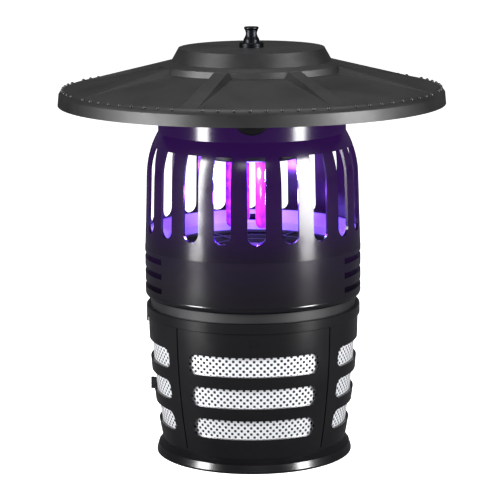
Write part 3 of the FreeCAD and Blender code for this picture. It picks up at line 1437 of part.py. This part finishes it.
def hanger_stud():
    """Stud on top of the canopy, cross-drilled for the hanging ring or chain."""
    body = lathe("hanger_stud", [
        ("0", BOSS_TOP + " - stud_reach"),
        ("stud_shank_radius", BOSS_TOP + " - stud_reach"),
        ("stud_shank_radius", BOSS_TOP),
        ("stud_flange_radius", BOSS_TOP),
        ("stud_flange_radius", BOSS_TOP + " + stud_flange_height - 1"),
        ("stud_flange_radius - 1", BOSS_TOP + " + stud_flange_height"),
        ("stud_foot_radius", BOSS_TOP + " + stud_flange_height"),
        ("stud_foot_radius", BOSS_TOP + " + stud_flange_height + 2.6"),
        ("stud_waist_radius", BOSS_TOP + " + stud_flange_height + 5"),
        ("stud_waist_radius", BOSS_TOP + " + stud_height - 3"),
        ("stud_head_radius", BOSS_TOP + " + stud_height - 1.5"),
        ("stud_head_radius", BOSS_TOP + " + stud_height - 0.5"),
        ("stud_head_radius - 0.5", BOSS_TOP + " + stud_height"),
        ("0", BOSS_TOP + " + stud_height"),
    ])
    bore = facing_sketch(body, "hang_bore_sketch", "0")
    circle(bore, "0", BOSS_TOP + " + hang_bore_rise", "hang_bore_radius")
    sunk(body, bore, "hang_bore", "3 * stud_head_radius", both=True)
    return keep("hanger_stud", body)


def hanger_nut():
    body = new_body("hanger_nut")
    sketch = level_sketch(body, "hanger_nut_sketch", BOSS_TOP + " - roof_wall")
    hexagon(sketch, "hanger_nut_flat")
    circle(sketch, "0", "0", "stud_shank_radius + seat_gap")
    raised(body, sketch, "hanger_nut_hex", "hanger_nut_height", back=True)
    return keep("hanger_nut", body)


# ---------------------------------------------------------------- build every piece

roof()
sensor_window()
light_sensor()
hanger_stud()
hanger_nut()
lamp_housing()
screw_ring("roof_screws", "roof_screw_circle", "screw_turn", COLLAR_TOP + " - collar_flange",
           "collar_flange + ledge_rise - 2")
lamp_carrier()
screw_ring("carrier_screws", "carrier_screw_circle", "screw_turn", CARRIER_TOP,
           "carrier_thick + ledge_thick", up=False)
lamp_block()
for lamp_side, side_sign in (("left", -1), ("right", 1)):
    lamp_socket("lamp_socket_" + lamp_side, side_sign)
    lamp_base("lamp_base_" + lamp_side, side_sign)
    lamp_tube("lamp_tube_" + lamp_side, side_sign)
indicator_lens()
circuit_board()
board_screws()
transformer()
capacitors()
power_switch()
power_button()
button_spring()
cable_gland()
gland_nut()
funnel()
fan_guard()
fan_shroud()
screw_ring("housing_screws", "screw_circle_radius", "screw_turn", HOUSING_FOOT + " + wall",
           "wall + 12", up=False)
fan_duct()
screw_ring("duct_screws", "screw_circle_radius", "screw_turn", DUCT_SEAT, "duct_flange + 12")
fan_motor()
screw_ring("motor_screws", "motor_screw_circle", "screw_turn", ARM_FOOT, "arm_thick + 9")
shaft_bushes()
fan_shaft()
impeller()
impeller_nut()
fan_lead()
lock_ring()
screw_ring("ring_screws", "screw_circle_radius", "0", "cage_height - cage_flange",
           "cage_flange + ring_flange - 0.4")
seal_ring()
basket_cage()
mesh_sheet("basket_mesh", "-90", "266", "cage_waist_z + floor_thick + mesh_thick + 3",
           "cage_height - cage_flange - 0.4")
floor_mesh()
hinge_pin()
basket_door()
mesh_sheet("door_mesh", "90", "80", "door_foot_z + door_play + 2", "door_top_z - door_play - 2")

doc.recompute()

# ---------------------------------------------------------------- check every object, then write the pieces

faults = []
for item in doc.Objects:
    if "Invalid" in item.State or "Error" in item.State:
        faults.append("%s is %s" % (item.Name, item.State))
    elif item.TypeId in ("PartDesign::Pocket", "PartDesign::Groove"):
        if item.Shape.Volume > item.BaseFeature.Shape.Volume - 0.01:
            faults.append("%s cuts nothing" % item.Name)
for label, item in pieces:
    if item.Shape.isNull() or not item.Shape.isValid():
        faults.append("%s has no valid shape" % label)
if faults:
    raise RuntimeError("; ".join(faults))

os.makedirs("parts", exist_ok=True)
for label, item in pieces:
    item.Shape.exportStep("parts/%s.step" % label)
print("%d pieces written" % len(pieces))
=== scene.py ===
# %% [markdown]
# # A hanging insect trap
# This lesson dresses a lamp-and-fan insect trap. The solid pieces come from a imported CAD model, so each one
# is already in its place, in metres, with +Z up and the front towards -Y. We add a camera, a soft white
# studio, a material for every finish, and the small repeated details that are quicker to grow than to model
# by hand.

# %% Load the frame
import math

import bpy
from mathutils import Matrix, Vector


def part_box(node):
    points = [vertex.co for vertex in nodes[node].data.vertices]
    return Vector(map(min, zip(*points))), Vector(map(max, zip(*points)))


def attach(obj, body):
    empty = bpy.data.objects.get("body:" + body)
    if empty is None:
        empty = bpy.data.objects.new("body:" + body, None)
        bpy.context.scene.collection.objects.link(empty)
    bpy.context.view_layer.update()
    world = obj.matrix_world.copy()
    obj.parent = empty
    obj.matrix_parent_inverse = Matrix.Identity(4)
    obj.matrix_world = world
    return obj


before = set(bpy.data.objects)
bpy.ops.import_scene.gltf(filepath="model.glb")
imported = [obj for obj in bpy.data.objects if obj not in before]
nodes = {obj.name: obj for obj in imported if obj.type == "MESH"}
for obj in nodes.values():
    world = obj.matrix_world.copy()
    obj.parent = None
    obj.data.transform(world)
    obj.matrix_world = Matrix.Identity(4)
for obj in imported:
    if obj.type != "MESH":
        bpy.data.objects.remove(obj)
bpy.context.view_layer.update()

# %% [markdown]
# ## Camera
# A product picture is taken from far off with a long lens, so that the round canopy keeps its shape. This
# camera stands two metres in front of the trap, a little above it, and looks down by about eleven degrees.

# %% Camera
CAMERA_PLACE = (0.0, -1.9933, 0.5695)
CAMERA_PITCH = 10.794
CAMERA_ROLL = 0.4
LENS = 157.0
SENSOR_WIDTH = 36.0
FAR_CLIP = 60.0

camera_data = bpy.data.cameras.new("studio_camera")
camera_data.lens = LENS
camera_data.sensor_width = SENSOR_WIDTH
camera_data.clip_end = FAR_CLIP
camera = bpy.data.objects.new("studio_camera", camera_data)
camera.location = CAMERA_PLACE
camera.rotation_euler = (math.radians(90 - CAMERA_PITCH), math.radians(CAMERA_ROLL), 0)
bpy.context.scene.collection.objects.link(camera)
bpy.context.scene.camera = camera
bpy.context.scene.view_settings.view_transform = "Standard"
print("camera looks down by", CAMERA_PITCH, "degrees")

# %% [markdown]
# ## Material helpers
# Every finish is a node tree. The first helper turns a hex colour into the linear values that the shader
# wants. The second adds one node, sets its fields, and links its inputs. The last two open a material and
# close it.

# %% Helpers for node trees
def paint(code):
    """Linear colour from an sRGB hex code."""
    channels = [int(code[place:place + 2], 16) / 255 for place in (1, 3, 5)]
    linear = [c / 12.92 if c <= 0.04045 else ((c + 0.055) / 1.055) ** 2.4 for c in channels]
    return (*linear, 1.0)


def add(tree, kind, settings=None, **links):
    """One node, with its fields set, and its inputs linked or given values."""
    node = tree.nodes.new(kind)
    for field, value in (settings or {}).items():
        setattr(node, field, value)
    for name, value in links.items():
        key = int(name[1:]) if name[1:].isdigit() else name.replace("_", " ")
        socket = node.inputs[key]
        if isinstance(value, bpy.types.NodeSocket):
            tree.links.new(value, socket)
        else:
            socket.default_value = value
    return node


def blank_material(name):
    """A material with an empty tree, its object coordinates and its output."""
    material = bpy.data.materials.new(name)
    material.use_nodes = True
    tree = material.node_tree
    tree.nodes.clear()
    place = add(tree, "ShaderNodeTexCoord").outputs["Object"]
    output = add(tree, "ShaderNodeOutputMaterial")
    return material, tree, place, output


def finish_material(tree, output, shader):
    """Link the last shader to the material's output."""
    tree.links.new(shader.outputs[0], output.inputs["Surface"])


# %% [markdown]
# ## Moulded plastic
# The shells are black ABS from a steel mould. Where the mould was spark-eroded the face is matt, with
# grains of about a third of a millimetre, drawn here about a millimetre wide so that they show. Where the
# mould was polished the face is glossy, with a slow ripple from shrinkage and faint handling marks that
# break up a reflection.

# %% A moulded plastic material
MM_PER_METRE = 1000
ABS_IOR = 1.53
CLOUD_SCALE = 22.0
GRAIN_STEP = 0.0004
RIPPLE_STEP = 0.002


def moulded_plastic(name, colour, light_colour, roughness, grain_mm, grain_depth, ripple, glow=None):
    """Black ABS: colour mottled between two shades, roughness that varies, grain and ripple as bump."""
    material, tree, place, output = blank_material(name)
    grain = add(tree, "ShaderNodeTexNoise", Vector=place, Scale=MM_PER_METRE / grain_mm,
                Detail=3.0, Roughness=0.6)
    cloud = add(tree, "ShaderNodeTexNoise", Vector=place, Scale=CLOUD_SCALE, Detail=4.0)
    shade = add(tree, "ShaderNodeMix", {"data_type": "RGBA"}, _6=paint(colour), _7=paint(light_colour),
                _0=cloud.outputs["Fac"])
    spread = add(tree, "ShaderNodeMapRange", _0=cloud.outputs["Fac"], _1=0.3, _2=0.7,
                 _3=roughness * 0.85, _4=roughness * 1.2)
    fine = add(tree, "ShaderNodeBump", Strength=grain_depth, Distance=GRAIN_STEP, Height=grain.outputs["Fac"])
    slow = add(tree, "ShaderNodeBump", Strength=ripple, Distance=RIPPLE_STEP, Height=cloud.outputs["Fac"],
               Normal=fine.outputs["Normal"])
    shader = add(tree, "ShaderNodeBsdfPrincipled", Base_Color=shade.outputs[2], IOR=ABS_IOR,
                 Roughness=spread.outputs[0], Normal=slow.outputs["Normal"])
    # An optional painted glow stands in for lamp light coming through the shell.
    if glow:
        glow(tree, place, shader)
    finish_material(tree, output, shader)
    return material


# %% [markdown]
# ## Light through the plastic
# Around the lamps the shell is thin and lets a little violet light through. That light is painted on as a
# violet glow: strongest just under the slots and fading downwards, so the painted glow follows height on the
# piece.

# %% Painted violet glow that fades with height
def painted_violet_glow(low_z, high_z, colour, strength):
    """Painted glow: emission that grows from nothing at one height to its full strength at another."""
    def apply(tree, place, shader):
        split = add(tree, "ShaderNodeSeparateXYZ", Vector=place)
        fade = add(tree, "ShaderNodeMapRange", {"interpolation_type": "SMOOTHSTEP"}, _0=split.outputs["Z"],
                   _1=low_z, _2=high_z, _3=0.0, _4=1.0)
        tint = add(tree, "ShaderNodeMix", {"data_type": "RGBA"}, _6=(0, 0, 0, 1), _7=paint(colour),
                   _0=fade.outputs[0])
        tree.links.new(tint.outputs[2], shader.inputs["Emission Color"])
        shader.inputs["Emission Strength"].default_value = strength
    return apply


# Each row gives name, darker and lighter colour, roughness, grain in millimetres, grain depth and ripple, and
# for the pieces near the lamps a painted violet glow.
housing_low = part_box("lamp_housing")[0][2]
shroud_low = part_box("fan_shroud")[0][2]
canopy_abs = moulded_plastic("canopy_matt_abs", "#070708", "#0b0b0c", 0.46, 0.9, 0.3, 0.05)
# The chamber and shroud glow violet below the slots. This is painted lamp light, not a lamp.
chamber_abs = moulded_plastic("chamber_gloss_abs", "#050506", "#08080a", 0.17, 0.7, 0.02, 0.05,
                              painted_violet_glow(housing_low - 0.02, housing_low + 0.05, "#4a1478", 0.3))
shroud_abs = moulded_plastic("shroud_gloss_abs", "#060607", "#09090b", 0.19, 0.7, 0.02, 0.05,
                             painted_violet_glow(shroud_low - 0.01, shroud_low + 0.06, "#43146a", 0.12))
basket_abs = moulded_plastic("basket_gloss_abs", "#060607", "#0a0a0c", 0.22, 0.7, 0.03, 0.05)
inner_abs = moulded_plastic("inner_matt_abs", "#0a0a0c", "#101013", 0.5, 0.8, 0.2, 0.05)
button_abs = moulded_plastic("button_half_gloss_abs", "#0b0b0d", "#111114", 0.3, 0.7, 0.06, 0.03)
nylon = moulded_plastic("gland_nylon", "#101012", "#18181b", 0.45, 0.8, 0.15, 0.05)
lamp_plastic = moulded_plastic("lamp_base_pbt", "#d6d6da", "#e6e6ea", 0.4, 0.8, 0.1, 0.04)
solder_mask = moulded_plastic("board_solder_mask", "#123f1c", "#1b5428", 0.35, 0.8, 0.1, 0.05)
foam_rubber = moulded_plastic("seal_foam_rubber", "#0c0c0d", "#161618", 0.85, 1.4, 0.6, 0.1)
lead_pvc = moulded_plastic("lead_pvc", "#0d0d0f", "#141417", 0.45, 0.8, 0.1, 0.05)
# The lilac of the titania coat and its violet glow are painted light from the lit tubes.
funnel_coat = moulded_plastic("funnel_titania_coating", "#8f7fd0", "#b6a6ee", 0.6, 0.9, 0.3, 0.05,
                              painted_violet_glow(housing_low - 0.01, housing_low + 0.02, "#6a3cff", 0.35))
print("made", len(bpy.data.materials), "materials so far")

# %% [markdown]
# ## Metals
# Screws are zinc-plated steel, the shaft is ground steel, the bushes are sintered bronze and the motor case
# is painted. Fine marks about half a millimetre apart break the highlight on each.

# %% A worked metal material
MARK_STRETCH = (0.4, 0.4, 3.0)
MARK_DEPTH = 0.12
MARK_STEP = 0.0003


def worked_metal(name, colour, dark_colour, roughness, mark_mm):
    """Bare metal with fine turning marks."""
    material, tree, place, output = blank_material(name)
    stretch = add(tree, "ShaderNodeMapping", Vector=place, Scale=MARK_STRETCH)
    marks = add(tree, "ShaderNodeTexNoise", Vector=stretch.outputs[0], Scale=MM_PER_METRE / mark_mm,
                Detail=3.0)
    shade = add(tree, "ShaderNodeMix", {"data_type": "RGBA"}, _6=paint(dark_colour), _7=paint(colour),
                _0=marks.outputs["Fac"])
    spread = add(tree, "ShaderNodeMapRange", _0=marks.outputs["Fac"], _1=0.3, _2=0.7,
                 _3=roughness * 0.8, _4=roughness * 1.3)
    bump = add(tree, "ShaderNodeBump", Strength=MARK_DEPTH, Distance=MARK_STEP, Height=marks.outputs["Fac"])
    shader = add(tree, "ShaderNodeBsdfPrincipled", Base_Color=shade.outputs[2], Metallic=1.0,
                 Roughness=spread.outputs[0], Normal=bump.outputs["Normal"])
    finish_material(tree, output, shader)
    return material


zinc_steel = worked_metal("zinc_plated_steel", "#c2c4c8", "#9a9ca2", 0.32, 0.6)
ground_steel = worked_metal("ground_shaft_steel", "#c8c9cc", "#a5a7ab", 0.2, 0.5)
bronze = worked_metal("sintered_bronze", "#b0824e", "#8a6238", 0.4, 0.5)
can_metal = worked_metal("capacitor_aluminium", "#a8aab0", "#85878d", 0.35, 0.6)
black_steel = worked_metal("blackened_steel", "#2a2b2e", "#1b1c1f", 0.34, 0.6)
print("made the metals,", len(bpy.data.materials), "materials so far")

# %% [markdown]
# ## Lamps
# Each lamp is a bent pair of glass tubes with a phosphor coat that glows violet. The coat is never quite
# even, so the glow runs from pink, where the coat is thin, to violet, where it is thick, in soft patches a
# few millimetres long.

# %% Glowing lamp glass and the indicator
GLASS_IOR = 1.5
PATCH_SCALE = 160.0


def glowing_glass(name, thin, thick, strength):
    """Lit glass whose glow varies with its place on the piece, from a thin coat to a thick one."""
    material, tree, place, output = blank_material(name)
    patches = add(tree, "ShaderNodeTexNoise", Vector=place, Scale=PATCH_SCALE, Detail=2.0)
    coat = add(tree, "ShaderNodeMapRange", _0=patches.outputs["Fac"], _1=0.3, _2=0.7, _3=0.0, _4=1.0)
    tint = add(tree, "ShaderNodeMix", {"data_type": "RGBA"}, _6=paint(thin), _7=paint(thick),
               _0=coat.outputs[0])
    rough = add(tree, "ShaderNodeMapRange", _0=patches.outputs["Fac"], _1=0.0, _2=1.0, _3=0.08, _4=0.16)
    shader = add(tree, "ShaderNodeBsdfPrincipled", Base_Color=paint(thick), Roughness=rough.outputs[0],
                 IOR=GLASS_IOR)
    tree.links.new(tint.outputs[2], shader.inputs["Emission Color"])
    shader.inputs["Emission Strength"].default_value = strength
    finish_material(tree, output, shader)
    return material


lamp_glass = glowing_glass("lit_phosphor_glass", "#e040e8", "#6a14f0", 1.1)
indicator_glass = glowing_glass("lit_indicator_lens", "#f4f6ff", "#5a78ff", 9.0)
print("lit", lamp_glass.name, "and", indicator_glass.name)

# %% [markdown]
# ## Catch mesh
# The basket is lined with bright metal mesh, stamped with staggered holes in rows three millimetres apart.
# The holes are painted near black, as painted shade for the dark inside seen through them.
# The pattern is worked out on the rolled sheet: the angle round the axis, times the radius, is the distance
# along a row, and height picks the row. Two cosines, each half a turn long per pitch, are multiplied, which
# puts the holes six millimetres apart along a row and shifts every second row by half of that.

# %% Stamped mesh material
ROLL_RADIUS = 0.09
HOLE_EDGE = 0.12
HOLE_DEPTH = 0.7
HOLE_STEP = 0.0008
HALF_TURN = math.pi * MM_PER_METRE


def stamped_mesh(name, pitch_mm, row_mm, hole, flat):
    """Bright mesh with staggered holes painted dark as shade. Flat mesh reads X and Y, rolled mesh reads
    angle and height.
    """
    material, tree, place, output = blank_material(name)
    split = add(tree, "ShaderNodeSeparateXYZ", Vector=place)
    if flat:
        along = split.outputs["X"]
        row = split.outputs["Y"]
    else:
        angle = add(tree, "ShaderNodeMath", {"operation": "ARCTAN2"}, _0=split.outputs["Y"],
                    _1=split.outputs["X"])
        along = add(tree, "ShaderNodeMath", {"operation": "MULTIPLY"}, _0=angle.outputs[0],
                    _1=ROLL_RADIUS).outputs[0]
        row = split.outputs["Z"]
    column = add(tree, "ShaderNodeMath", {"operation": "MULTIPLY"}, _0=along, _1=HALF_TURN / pitch_mm)
    line = add(tree, "ShaderNodeMath", {"operation": "MULTIPLY"}, _0=row, _1=HALF_TURN / row_mm)
    wave_a = add(tree, "ShaderNodeMath", {"operation": "COSINE"}, _0=column.outputs[0])
    wave_b = add(tree, "ShaderNodeMath", {"operation": "COSINE"}, _0=line.outputs[0])
    both = add(tree, "ShaderNodeMath", {"operation": "MULTIPLY"}, _0=wave_a.outputs[0], _1=wave_b.outputs[0])
    mask = add(tree, "ShaderNodeMapRange", {"interpolation_type": "SMOOTHSTEP"}, _0=both.outputs[0],
               _1=hole - HOLE_EDGE, _2=hole + HOLE_EDGE, _3=0.0, _4=1.0)
    # The holes are painted near black. This is painted shade for the dark basket behind them.
    shade = add(tree, "ShaderNodeMix", {"data_type": "RGBA"}, _6=paint("#e9eaee"), _7=paint("#17171a"),
                _0=mask.outputs[0])
    metal = add(tree, "ShaderNodeMapRange", _0=mask.outputs[0], _1=0.0, _2=1.0, _3=0.55, _4=0.0)
    rough = add(tree, "ShaderNodeMapRange", _0=mask.outputs[0], _1=0.0, _2=1.0, _3=0.38, _4=0.9)
    bump = add(tree, "ShaderNodeBump", {"invert": True}, Strength=HOLE_DEPTH, Distance=HOLE_STEP,
               Height=mask.outputs[0])
    shader = add(tree, "ShaderNodeBsdfPrincipled", Base_Color=shade.outputs[2], Metallic=metal.outputs[0],
                 Roughness=rough.outputs[0], Normal=bump.outputs["Normal"])
    finish_material(tree, output, shader)
    return material


rolled_mesh = stamped_mesh("stamped_mesh_rolled", 3.0, 3.0, 0.28, False)
flat_mesh = stamped_mesh("stamped_mesh_flat", 3.0, 3.0, 0.28, True)
print("stamped", rolled_mesh.name, "and", flat_mesh.name)

# %% [markdown]
# ## Dress the pieces
# Each CAD piece keeps its shape and gets its finish in its own material slot.

# %% Finish for every piece
FINISHES = {
    canopy_abs: ["roof"],
    chamber_abs: ["lamp_housing"],
    shroud_abs: ["fan_shroud"],
    basket_abs: ["basket_cage", "basket_door", "lock_ring"],
    inner_abs: ["lamp_carrier", "lamp_block", "fan_guard", "fan_duct", "impeller", "power_switch",
                "sensor_window"],
    button_abs: ["power_button"],
    nylon: ["cable_gland", "gland_nut"],
    lamp_plastic: ["lamp_base_left", "lamp_base_right", "lamp_socket_left", "lamp_socket_right"],
    solder_mask: ["circuit_board"],
    foam_rubber: ["seal_ring"],
    lead_pvc: ["fan_lead"],
    funnel_coat: ["funnel"],
    zinc_steel: ["roof_screws", "carrier_screws", "board_screws", "housing_screws", "duct_screws",
                 "motor_screws", "ring_screws", "hanger_nut", "impeller_nut"],
    ground_steel: ["fan_shaft", "hinge_pin", "button_spring"],
    bronze: ["shaft_bushes", "light_sensor"],
    can_metal: ["capacitors"],
    black_steel: ["hanger_stud", "fan_motor", "transformer"],
    lamp_glass: ["lamp_tube_left", "lamp_tube_right"],
    indicator_glass: ["indicator_lens"],
    rolled_mesh: ["basket_mesh", "door_mesh"],
    flat_mesh: ["floor_mesh"],
}

for material, names in FINISHES.items():
    for name in names:
        mesh = nodes[name].data
        if mesh.materials:
            for place in range(len(mesh.materials)):
                mesh.materials[place] = material
        else:
            mesh.materials.append(material)
dressed = sum(len(names) for names in FINISHES.values())
print("dressed", dressed, "of", len(nodes), "pieces")

# %% [markdown]
# ## Rain pips on the canopy's rim
# Nine small domes stand on the rim of each of the eight canopy panels. They are all alike and follow a
# rule, so Geometry Nodes place them: eighty points on a circle, every tenth left out where a rib ends, and
# one dome on each point that is left.

# %% Grow the pips with Geometry Nodes
def fresh_tree(name, inputs):
    """An empty geometry tree with named inputs for its sizes."""
    tree = bpy.data.node_groups.new(name, "GeometryNodeTree")
    for label, kind in inputs:
        tree.interface.new_socket(label, in_out="INPUT", socket_type=kind)
    tree.interface.new_socket("Geometry", in_out="OUTPUT", socket_type="NodeSocketGeometry")
    return tree


def grown(name, tree, values):
    """A plain mesh object from a geometry tree, with its inputs set by identifier."""
    holder = bpy.data.objects.new(name + "_holder", bpy.data.meshes.new(name + "_holder"))
    bpy.context.scene.collection.objects.link(holder)
    modifier = holder.modifiers.new("grow", "NODES")
    modifier.node_group = tree
    for socket in tree.interface.items_tree:
        if socket.in_out == "INPUT" and socket.name in values:
            modifier[socket.identifier] = values[socket.name]
    bpy.context.view_layer.update()
    shape = holder.evaluated_get(bpy.context.evaluated_depsgraph_get())
    mesh = bpy.data.meshes.new_from_object(shape)
    bpy.data.objects.remove(holder)
    piece = bpy.data.objects.new(name, mesh)
    bpy.context.scene.collection.objects.link(piece)
    print("grew", name, "with", len(mesh.polygons), "faces")
    return piece


def pip_tree():
    """Domes round a circle, with the first of every group left out."""
    tree = fresh_tree("rim_pips", [("Radius", "NodeSocketFloat"), ("Height", "NodeSocketFloat"),
                                   ("Pip", "NodeSocketFloat"), ("Count", "NodeSocketInt"),
                                   ("Group", "NodeSocketInt"), ("Turn", "NodeSocketFloat")])
    given = add(tree, "NodeGroupInput").outputs
    ring = add(tree, "GeometryNodeMeshCircle", Vertices=given["Count"], Radius=given["Radius"])
    index = add(tree, "GeometryNodeInputIndex")
    in_group = add(tree, "FunctionNodeIntegerMath", {"operation": "MODULO"}, _0=index.outputs[0],
                   _1=given["Group"])
    at_rib = add(tree, "FunctionNodeCompare", {"data_type": "INT", "operation": "EQUAL"},
                 _2=in_group.outputs[0], _3=0)
    kept = add(tree, "GeometryNodeDeleteGeometry", {"domain": "POINT"}, Geometry=ring.outputs["Mesh"],
               Selection=at_rib.outputs[0])
    dome = add(tree, "GeometryNodeMeshUVSphere", Segments=10, Rings=6, Radius=given["Pip"])
    placed = add(tree, "GeometryNodeInstanceOnPoints", Points=kept.outputs[0], Instance=dome.outputs["Mesh"])
    spot = add(tree, "ShaderNodeCombineXYZ", Z=given["Height"])
    spin = add(tree, "ShaderNodeCombineXYZ", Z=given["Turn"])
    moved = add(tree, "GeometryNodeTransform", Geometry=placed.outputs[0], Translation=spot.outputs[0],
                Rotation=spin.outputs[0])
    real = add(tree, "GeometryNodeRealizeInstances", Geometry=moved.outputs[0])
    smooth = add(tree, "GeometryNodeSetShadeSmooth", Geometry=real.outputs[0])
    finish = add(tree, "GeometryNodeSetMaterial", Geometry=smooth.outputs[0], Material=canopy_abs)
    end = add(tree, "NodeGroupOutput")
    tree.links.new(finish.outputs[0], end.inputs[0])
    return tree


PIP_INSET = 0.0048
PIP_RISE = 0.0138
PIP_RADIUS = 0.0017
PIP_PLACES = 80
PLACES_PER_PANEL = 10
PIP_TURN = 26.5

roof_low, roof_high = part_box("roof")
rim_radius = roof_high[0]
pips = grown("rim_pips", pip_tree(), {
    "Radius": rim_radius - PIP_INSET,
    "Height": roof_low[2] + PIP_RISE,
    "Pip": PIP_RADIUS,
    "Count": PIP_PLACES,
    "Group": PLACES_PER_PANEL,
    "Turn": math.radians(PIP_TURN),
})
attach(pips, "housing")

# %% [markdown]
# ## Index mark on the basket
# A small raised square on the front of the basket shows where it lines up with the neck. It is a square
# frame 1.1 mm deep, set 0.8 mm into the basket's foremost face: four outer corners, four inner corners, and
# the same again in front.

# %% Raised square mark
def square_frame(name, middle, half, rim, back, proud):
    """A square frame in the XZ plane, from y = back out to y = back - proud."""
    corners = [(-1, -1), (1, -1), (1, 1), (-1, 1)]
    points = []
    for depth in (back, back - proud):
        for size in (half, half - rim):
            points += [(size * x, depth, middle + size * z) for x, z in corners]
    faces = []
    for place in range(4):
        after = (place + 1) % 4
        faces.append((8 + place, 8 + after, 12 + after, 12 + place))
        faces.append((place, 4 + place, 4 + after, after))
        faces.append((place, after, 8 + after, 8 + place))
        faces.append((4 + place, 12 + place, 12 + after, 4 + after))
    mesh = bpy.data.meshes.new(name)
    mesh.from_pydata(points, [], faces)
    mesh.validate()
    mesh.materials.append(basket_abs)
    piece = bpy.data.objects.new(name, mesh)
    bpy.context.scene.collection.objects.link(piece)
    return piece


MARK_HEIGHT = 0.1222
MARK_HALF = 0.0038
MARK_RIM = 0.0011
MARK_SINK = 0.0008
MARK_THICK = 0.0011

cage_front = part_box("basket_cage")[0][1]
mark = square_frame("index_mark", MARK_HEIGHT, MARK_HALF, MARK_RIM, cage_front + MARK_SINK, MARK_THICK)
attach(mark, "basket")
print("raised the index mark")

# %% [markdown]
# ## Soft white studio
# A product stands on a white sheet in a white room. The sheet lies under the trap and reaches far behind
# it. Both are bright to the camera but dim to reflections, as a shaded studio is, because black gloss would
# mirror a bright room and turn grey. The Is Camera Ray output of a Light Path node tells the two apart.

# %% Floor and room
FLOOR_REACH = 30.0
FLOOR_DROP = 0.0005
PAPER_GLOW = 0.95
ROOM_STRENGTH = 0.1

floor_mesh = bpy.data.meshes.new("studio_floor")
sheet_corners = [(FLOOR_REACH * x, FLOOR_REACH * y, 0) for x, y in ((-1, -1), (1, -1), (1, 1), (-1, 1))]
floor_mesh.from_pydata(sheet_corners, [], [(0, 1, 2, 3)])
floor = bpy.data.objects.new("studio_floor", floor_mesh)
floor.location.z = -FLOOR_DROP
bpy.context.scene.collection.objects.link(floor)
paper, tree, place, output = blank_material("paper_backdrop")
fibres = add(tree, "ShaderNodeTexNoise", Vector=place, Scale=3.0)
shade = add(tree, "ShaderNodeMix", {"data_type": "RGBA"}, _6=paint("#f4f4f4"), _7=paint("#fafafa"),
            _0=fibres.outputs["Fac"])
sheet = add(tree, "ShaderNodeBsdfPrincipled", Base_Color=shade.outputs[2], Roughness=0.9,
            Emission_Color=(1, 1, 1, 1), Emission_Strength=PAPER_GLOW)
dim = add(tree, "ShaderNodeBsdfDiffuse", Color=paint("#5a5a5c"))
ray = add(tree, "ShaderNodeLightPath")
shader = add(tree, "ShaderNodeMixShader", _0=ray.outputs["Is Camera Ray"], _1=dim.outputs[0],
             _2=sheet.outputs[0])
finish_material(tree, output, shader)
floor_mesh.materials.append(paper)

world = bpy.data.worlds.new("studio_room")
bpy.context.scene.world = world
world.use_nodes = True
tree = world.node_tree
tree.nodes.clear()
ray = add(tree, "ShaderNodeLightPath")
room = add(tree, "ShaderNodeBackground", Color=(0.75, 0.75, 0.78, 1), Strength=ROOM_STRENGTH)
sight = add(tree, "ShaderNodeBackground", Color=(1, 1, 1, 1), Strength=1.0)
choice = add(tree, "ShaderNodeMixShader", _0=ray.outputs["Is Camera Ray"], _1=room.outputs[0],
             _2=sight.outputs[0])
end = add(tree, "ShaderNodeOutputWorld", Surface=choice.outputs[0])

print("laid the sheet and closed the room")

# %% [markdown]
# ## Lights
# Black gloss only shows its shape in what it mirrors. Two tall soft boxes stand left and right of the front
# and draw the bright stripes down the shell. A broad one overhead lights the canopy, and a weak one in
# front fills the basket. Three small points of light hang inside the lamp chamber, where the lit tubes
# colour the funnel.

# %% Soft boxes and the light inside the chamber
CHAMBER_VIOLET = (0.28, 0.08, 1.0)
INDICATOR_BLUE = (0.30, 0.38, 1.0)
GLOW_BALL_RADIUS = 0.006


def soft_box(name, place, aim, width, height, power):
    """A rectangular light that points at a target."""
    data = bpy.data.lights.new(name, "AREA")
    data.shape = "RECTANGLE"
    data.size = width
    data.size_y = height
    data.energy = power
    lamp = bpy.data.objects.new(name, data)
    lamp.location = place
    lamp.rotation_euler = (Vector(aim) - Vector(place)).to_track_quat("-Z", "Y").to_euler()
    bpy.context.scene.collection.objects.link(lamp)


soft_box("left_soft_box", place=(-1.60, -0.90, 0.55), aim=(0, 0, 0.25), width=0.5, height=1.9, power=110)
soft_box("right_soft_box", place=(1.60, -0.98, 0.55), aim=(0, 0, 0.25), width=0.5, height=1.9, power=110)
soft_box("overhead_soft_box", place=(0.0, 0.5, 2.0), aim=(0, 0, 0.35), width=1.6, height=1.4, power=14)
soft_box("front_fill", place=(0.0, -2.8, 1.5), aim=(0, 0, 0.1), width=1.6, height=0.4, power=9)

for name, place, power, colour in (("chamber_glow_front", (0.0, -0.045, 0.245), 0.45, CHAMBER_VIOLET),
                                   ("chamber_glow_rear", (0.0, 0.045, 0.245), 0.45, CHAMBER_VIOLET),
                                   ("indicator_glow", (0.0, -0.03, 0.264), 0.6, INDICATOR_BLUE)):
    data = bpy.data.lights.new(name, "POINT")
    data.energy = power
    data.color = colour
    data.shadow_soft_size = GLOW_BALL_RADIUS
    lamp = bpy.data.objects.new(name, data)
    lamp.location = place
    bpy.context.scene.collection.objects.link(lamp)
print("lit the studio")
